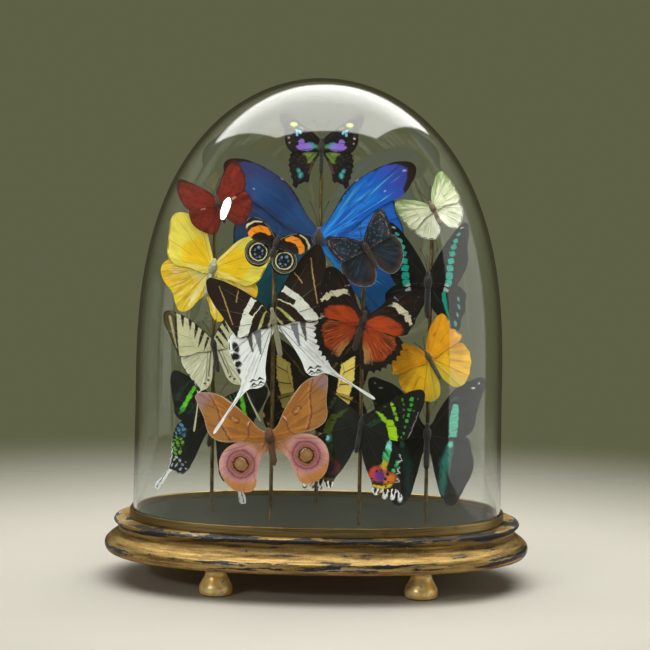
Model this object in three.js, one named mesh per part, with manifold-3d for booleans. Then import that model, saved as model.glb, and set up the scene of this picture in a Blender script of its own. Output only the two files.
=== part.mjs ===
// Butterflies and moths on brass rods under an oval glass dome, on a gilded plinth.
// Millimetres, +Z up, the front faces -Y.
import * as THREE from "three";
import { mergeVertices } from "three/addons/utils/BufferGeometryUtils.js";
import Module from "manifold-3d";

const wasm = await Module();
wasm.setup();

const GAP = 0.3;

// The plan of every oval piece is a superellipse of this exponent.
const OVAL_EXPONENT = 2.3;
const OVAL_SEGMENTS = 30;

const FOOT = { x: 81, y: 58, offset: 2.5, height: 22.2, segments: 8 };
const FOOT_PROFILE = [[12, 0], [13.2, 2.5], [13, 7], [10.6, 12], [8.6, 15.2], [8.3, FOOT.height]];

// Half length against height, from the underside up to the ledge; the plinth is this
// much narrower from front to back than from end to end.
const PLINTH_NARROWER = 78;
const PLINTH_TOP = 51.2;
const PLINTH_PROFILE = [
  [161, FOOT.height + GAP], [168.5, 23.8], [171.7, 26.6], [172.5, 30], [171, 33.8], [168, 36.4],
  [163.6, 39], [161.2, 42], [162.4, 45.6], [165, 48.6], [163.8, 50.5], [160.4, PLINTH_TOP],
];

const DOME = { length: 149.8, width: 78.8, wall: 3, foot: PLINTH_TOP + GAP, shoulder: 150, top: 405.7 };
const DOME_TAPER = 0.016;
const DOME_ROUNDING = 2.7;
const DOME_HEIGHTS = [0, 0.3, 0.52, 0.67, 0.78, 0.87, 0.94, 0.985];

const RING = { outer: DOME.length + 2.4, inner: DOME.length + GAP, top: 58.5 };
const RING_NARROWER = DOME.length - DOME.width;
const FLOOR = { length: DOME.length - DOME.wall - GAP, top: 54 };

const ROD_RADIUS = 1.5;
const ROD_SIDES = 6;
const RODS = {
  rod_far_left: { x: -85.5, y: 2.5, top: 307 },
  rod_left: { x: -36.5, y: -38, top: 280 },
  rod_middle: { x: -1, y: 43.5, top: 351 },
  rod_right: { x: 33.5, y: -44, top: 277 },
  rod_far_right: { x: 86.5, y: -34, top: 309 },
};

const WING_THICKNESS = 0.8;
const BODY_SIDES = 5;
const PIN_RADIUS = 0.5;
const FEELER_RADIUS = 0.35;

// Each insect: at is the thorax, turn leans it sideways, lean tips the head back and yaw
// brings the right wings forward. lift folds the left and right wings back and droop swings
// them down, all in degrees. Outlines are the right wings seen from the front, in steps of
// size millimetres from the thorax; the left wings mirror them.
const INSECTS = [
  {
    name: "purple_spotted_swallowtail", rod: "rod_middle", color: 0x1c1a24,
    at: [-1.3, 31, 349.3], size: 0.81, body: { head: 11, tail: -27, radius: 2.6 }, feelers: [9, 17],
    fore: [[1, 7], [7, 14], [18, 22], [32, 32], [41, 33], [42, 28], [37, 16], [36, 4], [29, -5],
      [12, -4], [1, -3]],
    hind: [[1, 1], [16, 0], [29, -3], [32, -13], [30, -26], [28, -37], [25, -47], [22, -46],
      [20, -37], [14, -27], [7, -16], [1, -8]],
  },
  {
    name: "blue_morpho", rod: "rod_middle", color: 0x1c58b8,
    at: [-2.4, 36, 274.1], size: 0.818, body: { head: 13, tail: -30, radius: 4 }, feelers: [10, 26],
    fore: [[1, 10], [10, 22], [30, 54], [47, 67], [65, 76], [82, 80], [94, 77], [96, 70], [91, 57],
      [84, 47], [60, 34], [20, 3], [1, -3]],
    hind: [[1, 5], [40, 36], [70, 47], [77, 29], [84, 14], [85, -6], [82, -32], [78, -51], [60, -70],
      [49, -74], [40, -56], [27, -43], [13, -22], [1, -8]],
  },
  {
    name: "red_glider", rod: "rod_far_left", color: 0xa03a2c,
    at: [-82.2, -10, 305.6], size: 0.765, turn: 18, droop: [0, -8],
    body: { head: 9, tail: -22, radius: 2.4 }, feelers: [9, 16],
    fore: [[1, 6], [10, 18], [22, 29], [32, 35], [36, 31], [37, 20], [36, 11], [31, 2], [14, -1],
      [1, -3]],
    hind: [[1, 2], [20, 3], [30, 2], [33, -7], [31, -16], [24, -24], [13, -30], [6, -24], [1, -12]],
  },
  {
    name: "golden_birdwing_moth", rod: "rod_far_left", color: 0xe2b02c,
    at: [-86.4, -5, 253.2], size: 0.8, turn: -13, droop: [0, 6],
    body: { head: 10, tail: -30, radius: 3.2 }, feelers: [6, 12],
    fore: [[1, 6], [8, 22], [17, 37], [27, 44], [37, 47], [49, 44], [52, 36], [50, 20], [48, 6],
      [43, -3], [22, -6], [1, -5]],
    hind: [[1, 2], [24, 0], [44, -2], [50, -10], [47, -21], [33, -34], [28, -43], [21, -50],
      [12, -45], [8, -38], [1, -26]],
  },
  {
    name: "eighty_eight", rod: "rod_left", color: 0x231b16,
    at: [-35, -56, 278], size: 0.775, turn: -18, body: { head: 8, tail: -16, radius: 2.3 },
    feelers: [8, 15],
    fore: [[1, 5], [9, 12], [18, 17], [28, 18], [34, 15], [35, 9], [31, 2], [26, -3], [12, -4],
      [1, -3]],
    hind: [[1, -1], [12, -2], [22, -4], [27, -11], [26, -20], [20, -27], [13, -29], [5, -26],
      [1, -14]],
  },
  {
    name: "navy_brushfoot", rod: "rod_right", color: 0x17202c,
    at: [34.8, -53, 275.3], size: 0.775, turn: 30, body: { head: 9, tail: -24, radius: 2.5 },
    feelers: [8, 16],
    fore: [[1, 6], [9, 16], [20, 24], [29, 28], [33, 25], [33, 15], [31, 5], [28, -1], [14, -2],
      [1, -3]],
    hind: [[1, 1], [18, 0], [29, -1], [33, -10], [31, -21], [25, -30], [13, -36], [7, -33],
      [1, -18]],
  },
  {
    name: "pale_green_white", rod: "rod_far_right", color: 0xd4d8b4,
    at: [86.4, -39, 306], size: 0.78, turn: 24, lean: 22, lift: [32, 16], droop: [18, 0],
    body: { head: 8, tail: -20, radius: 2.3 }, feelers: [7, 14],
    fore: [[1, 5], [5, 15], [13, 26], [22, 34], [28, 33], [31, 22], [32, 9], [31, 0], [14, -2],
      [1, -3]],
    hind: [[1, 1], [15, -1], [28, -2], [30, -9], [27, -17], [21, -24], [14, -28], [7, -23],
      [1, -10]],
  },
  {
    name: "turquoise_band_upper", rod: "rod_far_right", color: 0x12161a,
    at: [84, -38.5, 247.6], size: 0.79, lift: [6, 22], body: { head: 12, tail: -36, radius: 3.2 },
    feelers: [9, 22],
    fore: [[1, 8], [6, 20], [12, 30], [22, 44], [32, 55], [40, 59], [43, 50], [42, 34], [43, 20],
      [37, 6], [30, -3], [14, -4], [1, -3]],
    hind: [[1, 2], [20, 0], [33, -3], [42, -12], [43, -24], [39, -38], [35, -49], [26, -46],
      [18, -40], [10, -32], [1, -18]],
  },
  {
    name: "giant_swordtail", rod: "rod_left", color: 0xe6e6d2,
    at: [-35.8, -50, 217.2], size: 0.781, turn: 11, lift: [-7, 0], droop: [5, -2],
    body: { head: 13, tail: -40, radius: 3.4 }, feelers: [8, 18],
    fore: [[1, 8], [4, 16], [16, 32], [35, 51], [50, 62], [59, 65], [63, 55], [61, 38], [54, 18],
      [48, 0], [43, -9], [22, -6], [1, -4]],
    hind: [[1, 2], [22, 0], [46, -4], [50, -14], [48, -32], [44, -54], [57, -69], [84, -95],
      [82, -98], [52, -73], [38, -61], [24, -60], [19, -45], [8, -18], [1, -8]],
  },
  {
    name: "orange_lacewing", rod: "rod_right", color: 0xa8441e,
    at: [33, -57, 217.6], size: 0.779, turn: -15, lift: [-14, 0],
    body: { head: 12, tail: -30, radius: 3 }, feelers: [8, 20],
    fore: [[1, 7], [9, 15], [20, 31], [35, 43], [48, 47], [53, 41], [53, 30], [51, 14], [49, 6],
      [44, -2], [22, -4], [1, -4]],
    hind: [[1, 2], [22, 0], [40, -2], [47, -12], [46, -24], [40, -34], [32, -43], [22, -48],
      [14, -48], [7, -34], [1, -14]],
  },
  {
    name: "golden_orange", rod: "rod_far_right", color: 0xe0962a,
    at: [85.5, -42, 189.2], size: 0.786, turn: 30, lift: [6, 10],
    body: { head: 9, tail: -27, radius: 3 }, feelers: [6, 12],
    fore: [[1, 6], [8, 18], [18, 28], [28, 33], [34, 31], [38, 22], [40, 10], [39, 0], [18, -3],
      [1, -4]],
    hind: [[1, 1], [20, -1], [38, -4], [41, -14], [37, -26], [30, -36], [21, -43], [12, -42],
      [6, -34], [1, -16]],
  },
  {
    name: "kite_swallowtail", rod: "rod_far_left", color: 0xd6d6b8,
    at: [-84.6, -10, 191.8], size: 0.801, turn: 10, body: { head: 10, tail: -28, radius: 2.6 },
    feelers: [7, 15],
    fore: [[1, 7], [8, 17], [17, 27], [31, 38], [42, 41], [45, 35], [42, 18], [38, 2], [35, -6],
      [18, -5], [1, -4]],
    hind: [[1, 1], [18, -2], [33, -6], [34, -16], [29, -28], [25, -38], [26, -52], [34, -83],
      [31, -84], [20, -54], [17, -42], [10, -36], [4, -20], [1, -10]],
  },
  {
    name: "green_striped_dayflier", rod: "rod_far_left", color: 0x16301e,
    at: [-83.4, -5, 138.4], size: 0.806, turn: -9, body: { head: 11, tail: -38, radius: 3 },
    feelers: [10, 22],
    fore: [[1, 7], [8, 15], [22, 25], [36, 31], [47, 32], [49, 26], [46, 12], [41, -2], [38, -11],
      [28, -16], [14, -8], [1, -4]],
    hind: [[1, 1], [16, -10], [34, -18], [38, -28], [38, -42], [36, -54], [40, -70], [47, -88],
      [43, -91], [36, -80], [29, -70], [20, -70], [14, -56], [7, -34], [1, -14]],
  },
  {
    name: "emperor_moth", rod: "rod_left", color: 0xb87850,
    at: [-37.8, -45.5, 123.8], size: 0.789, turn: 10.6, yaw: 9,
    body: { head: 11, tail: -30, radius: 4.6 }, feelers: [13, 9],
    fore: [[1, 7], [5, 7], [20, 26], [32, 40], [44, 50], [56, 54], [67, 53], [67, 45], [63, 30],
      [60, 11], [52, 4], [30, 0], [1, -3]],
    hind: [[1, 2], [20, 1], [42, -3], [52, -11], [56, -22], [54, -35], [47, -46], [36, -51],
      [25, -50], [19, -36], [12, -19], [1, -9]],
  },
  {
    name: "rainbow_dayflier", rod: "rod_right", color: 0x2a4a22,
    at: [33.7, -51, 136.4], size: 0.785, turn: -9, lift: [13, 0],
    body: { head: 10, tail: -30, radius: 2.8 }, feelers: [11, 14],
    fore: [[1, 7], [10, 17], [24, 28], [36, 37], [46, 43], [55, 44], [58, 36], [56, 22], [52, 6],
      [47, -7], [30, -10], [1, -4]],
    hind: [[1, 1], [16, -6], [36, -12], [46, -22], [51, -38], [53, -54], [56, -71], [51, -73],
      [46, -62], [41, -75], [37, -72], [33, -60], [28, -68], [23, -58], [13, -44], [6, -28],
      [1, -12]],
  },
  {
    name: "yellow_banded_swallowtail", rod: "rod_middle", color: 0x24201a,
    at: [-3, 36, 152.6], size: 0.825, body: { head: 12, tail: -34, radius: 3.2 }, feelers: [9, 22],
    fore: [[1, 8], [10, 24], [24, 40], [40, 50], [56, 54], [61, 50], [58, 36], [53, 18], [48, 2],
      [42, -8], [20, -6], [1, -4]],
    hind: [[1, 1], [20, -2], [42, -6], [50, -18], [52, -30], [48, -42], [38, -50], [26, -52],
      [14, -46], [6, -30], [1, -14]],
  },
  {
    name: "turquoise_band_lower", rod: "rod_far_right", color: 0x12161a,
    at: [86, -40, 127.1], size: 0.79, lift: [4, 16], body: { head: 12, tail: -36, radius: 3.2 },
    feelers: [9, 22],
    fore: [[1, 8], [5, 12], [10, 22], [21, 38], [31, 48], [44, 54], [58, 56], [60, 50], [55, 34],
      [51, 18], [49, 7], [43, -1], [22, -4], [1, -4]],
    hind: [[1, 2], [22, -2], [42, -4], [47, -18], [50, -32], [47, -44], [42, -53], [36, -64],
      [28, -73], [20, -69], [10, -44], [5, -23], [1, -10]],
  },
];

const group = new THREE.Group();

function add(name, geometry, material) {
  const mesh = new THREE.Mesh(geometry, material);
  mesh.name = name;
  group.add(mesh);
  return mesh;
}

function material(color, roughness, metalness) {
  return new THREE.MeshStandardMaterial({ color, roughness, metalness });
}

// A copy of a geometry with shared vertices, as a manifold-3d solid that faces outward.
function toSolid(geometry) {
  const bare = geometry.clone();
  bare.deleteAttribute("normal");
  bare.deleteAttribute("uv");
  const merged = mergeVertices(bare, 1e-4);
  const triangles = [];
  const corner = merged.index.array;
  for (let i = 0; i < corner.length; i += 3) {
    const [a, b, c] = [corner[i], corner[i + 1], corner[i + 2]];
    if (a !== b && b !== c && a !== c) triangles.push(a, b, c);
  }
  const mesh = new wasm.Mesh({
    numProp: 3,
    vertProperties: new Float32Array(merged.attributes.position.array),
    triVerts: new Uint32Array(triangles),
  });
  return new wasm.Manifold(mesh);
}

function fromSolid(solid) {
  const mesh = solid.getMesh();
  const geometry = new THREE.BufferGeometry();
  geometry.setAttribute("position", new THREE.BufferAttribute(mesh.vertProperties, 3));
  geometry.setIndex(new THREE.BufferAttribute(mesh.triVerts, 1));
  geometry.computeVertexNormals();
  return geometry;
}

function join(geometries) {
  return fromSolid(geometries.map(toSolid).reduce((all, one) => all.add(one)));
}

const power = (value) => Math.sign(value) * Math.abs(value) ** (2 / OVAL_EXPONENT);

// Turns a profile of [half length, height] round the oval; widthAt gives the half width
// that belongs to a half length.
function ovalTurning(profile, widthAt) {
  const points = profile.map(([length, height]) => new THREE.Vector2(length, height));
  const geometry = new THREE.LatheGeometry(points, OVAL_SEGMENTS);
  const place = geometry.attributes.position;
  for (let i = 0; i < place.count; i += 1) {
    const angle = Math.atan2(-place.getZ(i), place.getX(i));
    const length = Math.hypot(place.getX(i), place.getZ(i));
    const x = length * power(Math.cos(angle));
    const y = widthAt(length) * power(Math.sin(angle));
    place.setXYZ(i, x, y, place.getY(i));
  }
  return fromSolid(toSolid(geometry));
}

const narrowerBy = (difference) => (length) => Math.max(length - difference, 0);

function addFeet() {
  const gold = [0xd8b060, 0.34, 0.9];
  const profile = [[0, 0], ...FOOT_PROFILE, [0, FOOT.height]];
  const points = profile.map(([radius, height]) => new THREE.Vector2(radius, height));
  for (const [side, x] of [["left", FOOT.offset - FOOT.x], ["right", FOOT.offset + FOOT.x]]) {
    for (const [end, y] of [["front", -FOOT.y], ["back", FOOT.y]]) {
      const turned = new THREE.LatheGeometry(points, FOOT.segments).rotateX(Math.PI / 2);
      add(`foot_${end}_${side}`, fromSolid(toSolid(turned)), material(...gold)).position.set(x, y, 0);
    }
  }
}

function addPlinth() {
  const profile = [[0, FOOT.height + GAP], ...PLINTH_PROFILE, [0, PLINTH_TOP]];
  add("plinth", ovalTurning(profile, narrowerBy(PLINTH_NARROWER)), material(0xb48c3c, 0.45, 0.7));
}

function addRing() {
  const foot = PLINTH_TOP + GAP;
  const profile = [
    [RING.inner, foot], [RING.outer, foot], [RING.outer, RING.top - 0.5],
    [RING.outer - 0.6, RING.top], [RING.inner, RING.top], [RING.inner, foot],
  ];
  add("brass_ring", ovalTurning(profile, narrowerBy(RING_NARROWER)), material(0x8c7448, 0.35, 0.9));
}

function addFloor() {
  const foot = PLINTH_TOP + GAP;
  const profile = [[0, foot], [FLOOR.length, foot], [FLOOR.length, FLOOR.top], [0, FLOOR.top]];
  add("floor_panel", ovalTurning(profile, narrowerBy(RING_NARROWER)), material(0x2c3228, 0.4, 0));
}

// Half length of the dome's outside at a height above its foot.
function domeLength(height) {
  const rise = (height - DOME.shoulder) / (DOME.top - DOME.shoulder);
  const straight = DOME.length - DOME_TAPER * (Math.min(height, DOME.shoulder) - DOME.foot);
  return rise <= 0 ? straight : straight * Math.sqrt(1 - rise ** DOME_ROUNDING);
}

function addDome() {
  const heightAt = (share) => DOME.foot + share * (DOME.top - DOME.foot);
  const outside = DOME_HEIGHTS.map((share) => [domeLength(heightAt(share)), heightAt(share)]);
  const shrink = (DOME.top - DOME.wall - DOME.foot) / (DOME.top - DOME.foot);
  const inside = outside.map(([length, height]) => [
    length * (1 - DOME.wall / DOME.length),
    DOME.foot + (height - DOME.foot) * shrink,
  ]);
  const profile = [
    [0, DOME.top], ...outside.reverse(), ...inside, [0, DOME.top - DOME.wall],
  ];
  const widthAt = (length) => length * (DOME.width / DOME.length);
  add("glass_dome", ovalTurning(profile.reverse(), widthAt), material(0xdfe8e0, 0.05, 0));
}

function addRods() {
  for (const [name, rod] of Object.entries(RODS)) {
    const foot = FLOOR.top + GAP;
    const height = rod.top - foot;
    const tube = new THREE.CylinderGeometry(ROD_RADIUS, ROD_RADIUS, height, ROD_SIDES).rotateX(Math.PI / 2);
    const mesh = add(name, fromSolid(toSolid(tube)), material(0x8a6a34, 0.4, 0.9));
    mesh.position.set(rod.x, rod.y, foot + height / 2);
  }
}

const turnOf = (degrees) => THREE.MathUtils.degToRad(degrees);

// One wing as a thin plate, its front face this far in front of the body's middle.
function wing(outline, size, front, mirror, droop, lift) {
  const shape = new THREE.Shape(outline.map(([x, y]) => new THREE.Vector2(x * size, y * size)));
  const plate = new THREE.ExtrudeGeometry(shape, { depth: WING_THICKNESS, bevelEnabled: false });
  plate.translate(0, 0, front - WING_THICKNESS);
  plate.rotateZ(turnOf(-droop));
  plate.rotateY(turnOf(lift));
  if (mirror) {
    plate.scale(-1, 1, 1);
    return flipped(plate);
  }
  return plate;
}

// The same geometry with its triangles turned over, for a mirrored piece.
function flipped(geometry) {
  const place = geometry.attributes.position;
  for (let i = 0; i < place.count; i += 3) {
    const first = new THREE.Vector3().fromBufferAttribute(place, i);
    const second = new THREE.Vector3().fromBufferAttribute(place, i + 1);
    place.setXYZ(i, second.x, second.y, second.z);
    place.setXYZ(i + 1, first.x, first.y, first.z);
  }
  return geometry;
}

function insectBody({ head, tail, radius }, size) {
  const [top, end] = [head * size, tail * size];
  const profile = [
    [0, end], [radius * 0.5, end + radius * 0.6], [radius * 0.78, end * 0.5],
    [radius * 0.62, -radius * 1.3], [radius, radius * 0.4], [radius * 0.5, top - radius * 0.9],
    [radius * 0.55, top - radius * 0.3], [0, top],
  ];
  return new THREE.LatheGeometry(profile.map(([x, y]) => new THREE.Vector2(x, y)), BODY_SIDES);
}

// A feeler that curves out and up from the head to [across, along] past its root.
function feeler([across, along], head, size, side) {
  const root = new THREE.Vector3(side * 0.5, (head - 1.5) * size, 0);
  const bend = new THREE.Vector3(side * across * 0.35 * size, (head + along * 0.6) * size, 0.6);
  const tip = new THREE.Vector3(side * across * size, (head + along) * size, 1);
  const path = new THREE.QuadraticBezierCurve3(root, bend, tip);
  const corners = [0, 120, 240].map((angle) => new THREE.Vector2(
    FEELER_RADIUS * Math.cos(turnOf(angle)),
    FEELER_RADIUS * Math.sin(turnOf(angle)),
  ));
  return new THREE.ExtrudeGeometry(new THREE.Shape(corners), { steps: 2, extrudePath: path });
}

// The insect's turn: leaned sideways, then tipped and turned where it hangs on its rod.
function poseOf({ turn = 0, lean = 0, yaw = 0 }) {
  const upright = new THREE.Matrix4().makeRotationX(Math.PI / 2);
  const tipped = new THREE.Matrix4().makeRotationX(turnOf(-lean));
  const turned = new THREE.Matrix4().makeRotationZ(turnOf(-yaw));
  const leaned = new THREE.Matrix4().makeRotationZ(turnOf(turn));
  return turned.multiply(tipped).multiply(upright).multiply(leaned);
}

// The pin that runs from the thorax back to just short of the rod.
function pin(insect) {
  const rod = RODS[insect.rod];
  const [x, y] = insect.at;
  const away = new THREE.Vector2(rod.x - x, rod.y - y);
  const length = away.length() - ROD_RADIUS - GAP;
  const shaft = new THREE.CylinderGeometry(PIN_RADIUS, PIN_RADIUS, length, 4);
  shaft.rotateZ(-Math.PI / 2).translate(length / 2, 0, 0).rotateZ(away.angle());
  return shaft;
}

function addInsect(insect) {
  const { body, size, feelers, lift = [0, 0], droop = [0, 0] } = insect;
  const pieces = [insectBody(body, size)];
  for (const [mirror, side] of [[true, 0], [false, 1]]) {
    pieces.push(wing(insect.fore, size, WING_THICKNESS / 2, mirror, droop[side], lift[side]));
    pieces.push(wing(insect.hind, size, 0, mirror, droop[side] / 2, lift[side]));
    pieces.push(feeler(feelers, body.head, size, mirror ? -1 : 1));
  }
  const pose = poseOf(insect);
  const placed = pieces.map((piece) => piece.applyMatrix4(pose));
  const mesh = add(insect.name, join([...placed, pin(insect)]), material(insect.color, 0.6, 0));
  mesh.position.set(...insect.at);
}

addFeet();
addPlinth();
addRing();
addFloor();
addDome();
addRods();
INSECTS.forEach(addInsect);

export default group;
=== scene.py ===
"""Butterflies and moths on brass rods under an oval glass dome, on a gilded plinth.

Shapes are worked out in millimetres and turned into metres as each piece is finished.
"""
import math
import random

import bpy
from mathutils import Matrix, Vector, kdtree


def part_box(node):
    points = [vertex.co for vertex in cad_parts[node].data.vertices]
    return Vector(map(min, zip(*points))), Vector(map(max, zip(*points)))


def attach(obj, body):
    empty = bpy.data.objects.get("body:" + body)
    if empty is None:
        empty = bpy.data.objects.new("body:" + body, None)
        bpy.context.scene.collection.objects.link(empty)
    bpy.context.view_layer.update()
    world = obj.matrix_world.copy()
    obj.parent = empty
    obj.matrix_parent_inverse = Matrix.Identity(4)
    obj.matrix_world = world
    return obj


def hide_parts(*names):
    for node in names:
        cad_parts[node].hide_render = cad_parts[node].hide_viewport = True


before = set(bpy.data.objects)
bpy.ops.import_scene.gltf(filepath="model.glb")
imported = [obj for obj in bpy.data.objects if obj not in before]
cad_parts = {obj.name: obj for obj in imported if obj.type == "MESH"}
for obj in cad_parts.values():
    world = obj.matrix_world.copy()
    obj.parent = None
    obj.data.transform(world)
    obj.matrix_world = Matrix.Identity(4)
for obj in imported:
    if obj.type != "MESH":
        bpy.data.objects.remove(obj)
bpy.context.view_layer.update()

MM = 0.001
OVAL_EXPONENT = 2.3
OVAL_SIDES = 160
SEED = 17


def size_of(node):
    """A node's lowest and highest corner in millimetres."""
    low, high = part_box(node)
    return low / MM, high / MM


def place_of(node):
    """The move from the origin to the middle of a node's plan, in millimetres."""
    low, high = size_of(node)
    return Matrix.Translation((low + high) / 2 * Vector((1, 1, 0)))


def sides_of(corners):
    """Each corner with the next one, and the last with the first."""
    return list(zip(corners, corners[1:] + corners[:1]))


def add(name, data):
    """A new object in the scene that shows a mesh, curve, lamp or camera."""
    thing = bpy.data.objects.new(name, data)
    bpy.context.scene.collection.objects.link(thing)
    return thing


def pick(*pieces):
    """Selects these pieces and nothing else, and makes the first of them the active one."""
    bpy.ops.object.select_all(action="DESELECT")
    for piece in pieces:
        piece.select_set(True)
    bpy.context.view_layer.objects.active = pieces[0]


# ---------------------------------------------------------------- camera and light

# The camera's place in millimetres, and its angles in degrees.
CAMERA_PLACE = (4.0637, -1714, 403.5)
CAMERA_PITCH = 6.4967
CAMERA_ROLL = 1.0
CAMERA_LENS = 118.7
STUDIO_WHITE = (1.0, 0.985, 0.96)
# What the studio round the stand is like for a plain view, a matt surface and a glossy one.
BACKDROP = (0.112, 0.117, 0.062)
FILL = (0.175, 0.172, 0.145)
GLOSS = (0.05, 0.047, 0.024)
# The cloth overhead in metres: its middle, its size and the corners of its lit part.
OVERHEAD_PLACE = (-0.05, 0, 1.4)
OVERHEAD_SIZE = (2.7, 2.1)
OVERHEAD_CORNERS = [(-1.34, 0.22), (-0.43, -0.9), (0.51, -0.82), (1.23, 0.92)]
OVERHEAD_WATTS = 90
KEY_PLACE = (-1.57, -1.84, 1.21)
KEY_TARGET = (-0.05, 0, 0.25)
KEY_SIZE = (0.24, 0.3)
KEY_WATTS = 12
PANEL_PLACE = (1.3, -0.45, 0.34)
PANEL_TARGET = (0, -0.45, 0.34)
PANEL_SIZE = (1.1, 1.0)
PANEL_WATTS = 3.4


def place_camera():
    data = bpy.data.cameras.new("camera")
    data.lens = CAMERA_LENS
    data.sensor_width = 36
    data.clip_end = 100
    camera = add("camera", data)
    pitched = Matrix.Rotation(math.radians(90 - CAMERA_PITCH), 4, "X")
    rolled = Matrix.Rotation(math.radians(CAMERA_ROLL), 4, "Z")
    camera.matrix_world = Matrix.Translation(Vector(CAMERA_PLACE) * MM) @ pitched @ rolled
    bpy.context.scene.camera = camera


def softbox(name, shape, place, target, size, watts):
    """An area lamp that shines from place to target, in metres."""
    data = bpy.data.lights.new(name, "AREA")
    data.shape = shape
    data.size, data.size_y = size
    data.energy = watts
    data.color = STUDIO_WHITE
    lamp = add(name, data)
    lamp.location = place
    lamp.rotation_euler = (Vector(target) - Vector(place)).to_track_quat("-Z", "Y").to_euler()
    return lamp


# ---------------------------------------------------------------- modelling helpers

# Points closer than this many millimetres are one point.
DOUBLED = 0.0005


def start(operator, **settings):
    """Adds a primitive with nothing else selected, and returns its object."""
    bpy.ops.object.select_all(action="DESELECT")
    operator(**settings)
    return bpy.context.object


def edit(piece):
    """Goes into edit mode on one piece with all of it selected."""
    pick(piece)
    bpy.ops.object.mode_set(mode="EDIT")
    bpy.ops.mesh.select_all(action="SELECT")


def close_edit(recalculate=True):
    """Leaves edit mode, first closing doubled points and turning all faces out."""
    if recalculate:
        bpy.ops.mesh.select_all(action="SELECT")
        bpy.ops.mesh.remove_doubles(threshold=DOUBLED)
        bpy.ops.mesh.normals_make_consistent(inside=False)
    bpy.ops.object.mode_set(mode="OBJECT")


def modify(piece, kind, **settings):
    """Adds a modifier with these settings and applies it."""
    pick(piece)
    modifier = piece.modifiers.new(kind.lower(), kind)
    for key, value in settings.items():
        setattr(modifier, key, value)
    bpy.ops.object.modifier_apply(modifier=modifier.name)


def join(pieces):
    """Joins pieces into the first of them."""
    pick(*pieces)
    bpy.ops.object.join()
    return pieces[0]


def smooth(piece, degrees=40):
    """Shades smooth wherever faces meet at less than this angle."""
    pick(piece)
    bpy.ops.object.shade_smooth_by_angle(angle=math.radians(degrees))


def rounded(points, steps):
    """A smooth open line through the points, steps to a span."""
    line = []
    ends = [points[0], *points, points[-1]]
    for before, here, there, after in zip(ends, ends[1:], ends[2:], ends[3:]):
        for step in range(steps):
            t = step / steps
            line.append(tuple(
                0.5 * (2 * b + (c - a) * t + (2 * a - 5 * b + 4 * c - d) * t ** 2
                       + (3 * b - a - 3 * c + d) * t ** 3)
                for a, b, c, d in zip(before, here, there, after)
            ))
    return [*line, tuple(points[-1])]


def power(value):
    """Turns a point of a circle into one of the oval plan, an axis at a time."""
    return math.copysign(abs(value) ** (2 / OVAL_EXPONENT), value)


def extruded(name, rings, sides, oval=False, closed=False, filled=True):
    """Draws a ring of sides points up through (half x, half y, z) rings, lowest first.

    A closed one returns to its first ring, and one that isn't filled has open ends.
    """
    piece = start(
        bpy.ops.mesh.primitive_circle_add, vertices=sides, radius=1,
        fill_type="NGON" if filled and not closed else "NOTHING",
    )
    piece.name = name
    half_x, half_y, z = rings[0]
    for vertex in piece.data.vertices:
        x, y, _ = vertex.co
        if oval:
            x, y = power(x), power(y)
        vertex.co = (x * half_x, y * half_y, z)
    edit(piece)
    for next_x, next_y, next_z in rings[1:]:
        bpy.ops.mesh.extrude_region_move(TRANSFORM_OT_translate={"value": (0, 0, next_z - z)})
        bpy.ops.transform.resize(
            value=(next_x / half_x, next_y / half_y, 1), center_override=(0, 0, next_z),
        )
        half_x, half_y, z = next_x, next_y, next_z
    close_edit()
    return piece


def meshed(name, curve):
    """The piece that a curve makes."""
    pick(add(name, curve))
    bpy.ops.object.convert(target="MESH")
    return bpy.context.object


def tubes(name, paths, sides=6):
    """Round wires along smooth lines; each path is a list of (point, radius)."""
    curve = bpy.data.curves.new(name, "CURVE")
    curve.dimensions = "3D"
    curve.bevel_depth = 1
    curve.bevel_resolution = (sides - 4) // 2
    curve.use_fill_caps = True
    curve.resolution_u = 4
    for path in paths:
        spline = curve.splines.new("BEZIER")
        spline.bezier_points.add(len(path) - 1)
        for knot, (point, radius) in zip(spline.bezier_points, path):
            knot.co = point
            knot.radius = radius
            knot.handle_left_type = knot.handle_right_type = "AUTO"
    return meshed(name, curve)


def finish(piece, node, slot, material=None, pose=None):
    """Puts a piece in place in metres, and hides the imported part of the node it stands for."""
    piece.data.transform(Matrix.Scale(MM, 4) @ (pose or Matrix()))
    if material:
        piece.data.materials.clear()
        piece.data.materials.append(material)
    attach(piece, "root")
    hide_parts(node)
    return piece


# ---------------------------------------------------------------- shader maths

def rgb(code):
    """A linear colour from a screen colour written as six hex digits."""
    parts = [int(code[i:i + 2], 16) / 255 for i in (0, 2, 4)]
    return tuple(p / 12.92 if p <= 0.04045 else ((p + 0.055) / 1.055) ** 2.4 for p in parts)


class Value:
    """A shader socket that takes part in Python sums; each operation adds a Math node."""

    def __init__(self, finish, socket):
        self.finish = finish
        self.socket = socket

    def math(self, operation, *others):
        inputs = dict(enumerate([self, *others]))
        return self.finish.node("Math", {"operation": operation}, inputs)

    def __add__(self, other):
        return self.math("ADD", other)

    def __sub__(self, other):
        return self.math("SUBTRACT", other)

    def __rsub__(self, other):
        return self.finish.node("Math", {"operation": "SUBTRACT"}, {0: other, 1: self})

    def __mul__(self, other):
        return self.math("MULTIPLY", other)

    def __truediv__(self, other):
        return self.math("DIVIDE", other)

    def __mod__(self, other):
        return self.math("FLOORED_MODULO", other)

    def __abs__(self):
        return self.math("ABSOLUTE")

    __radd__ = __add__
    __rmul__ = __mul__


def least(values):
    """The smallest of several values."""
    smallest, *others = values
    for value in others:
        smallest = smallest.math("MINIMUM", value)
    return smallest


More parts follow.
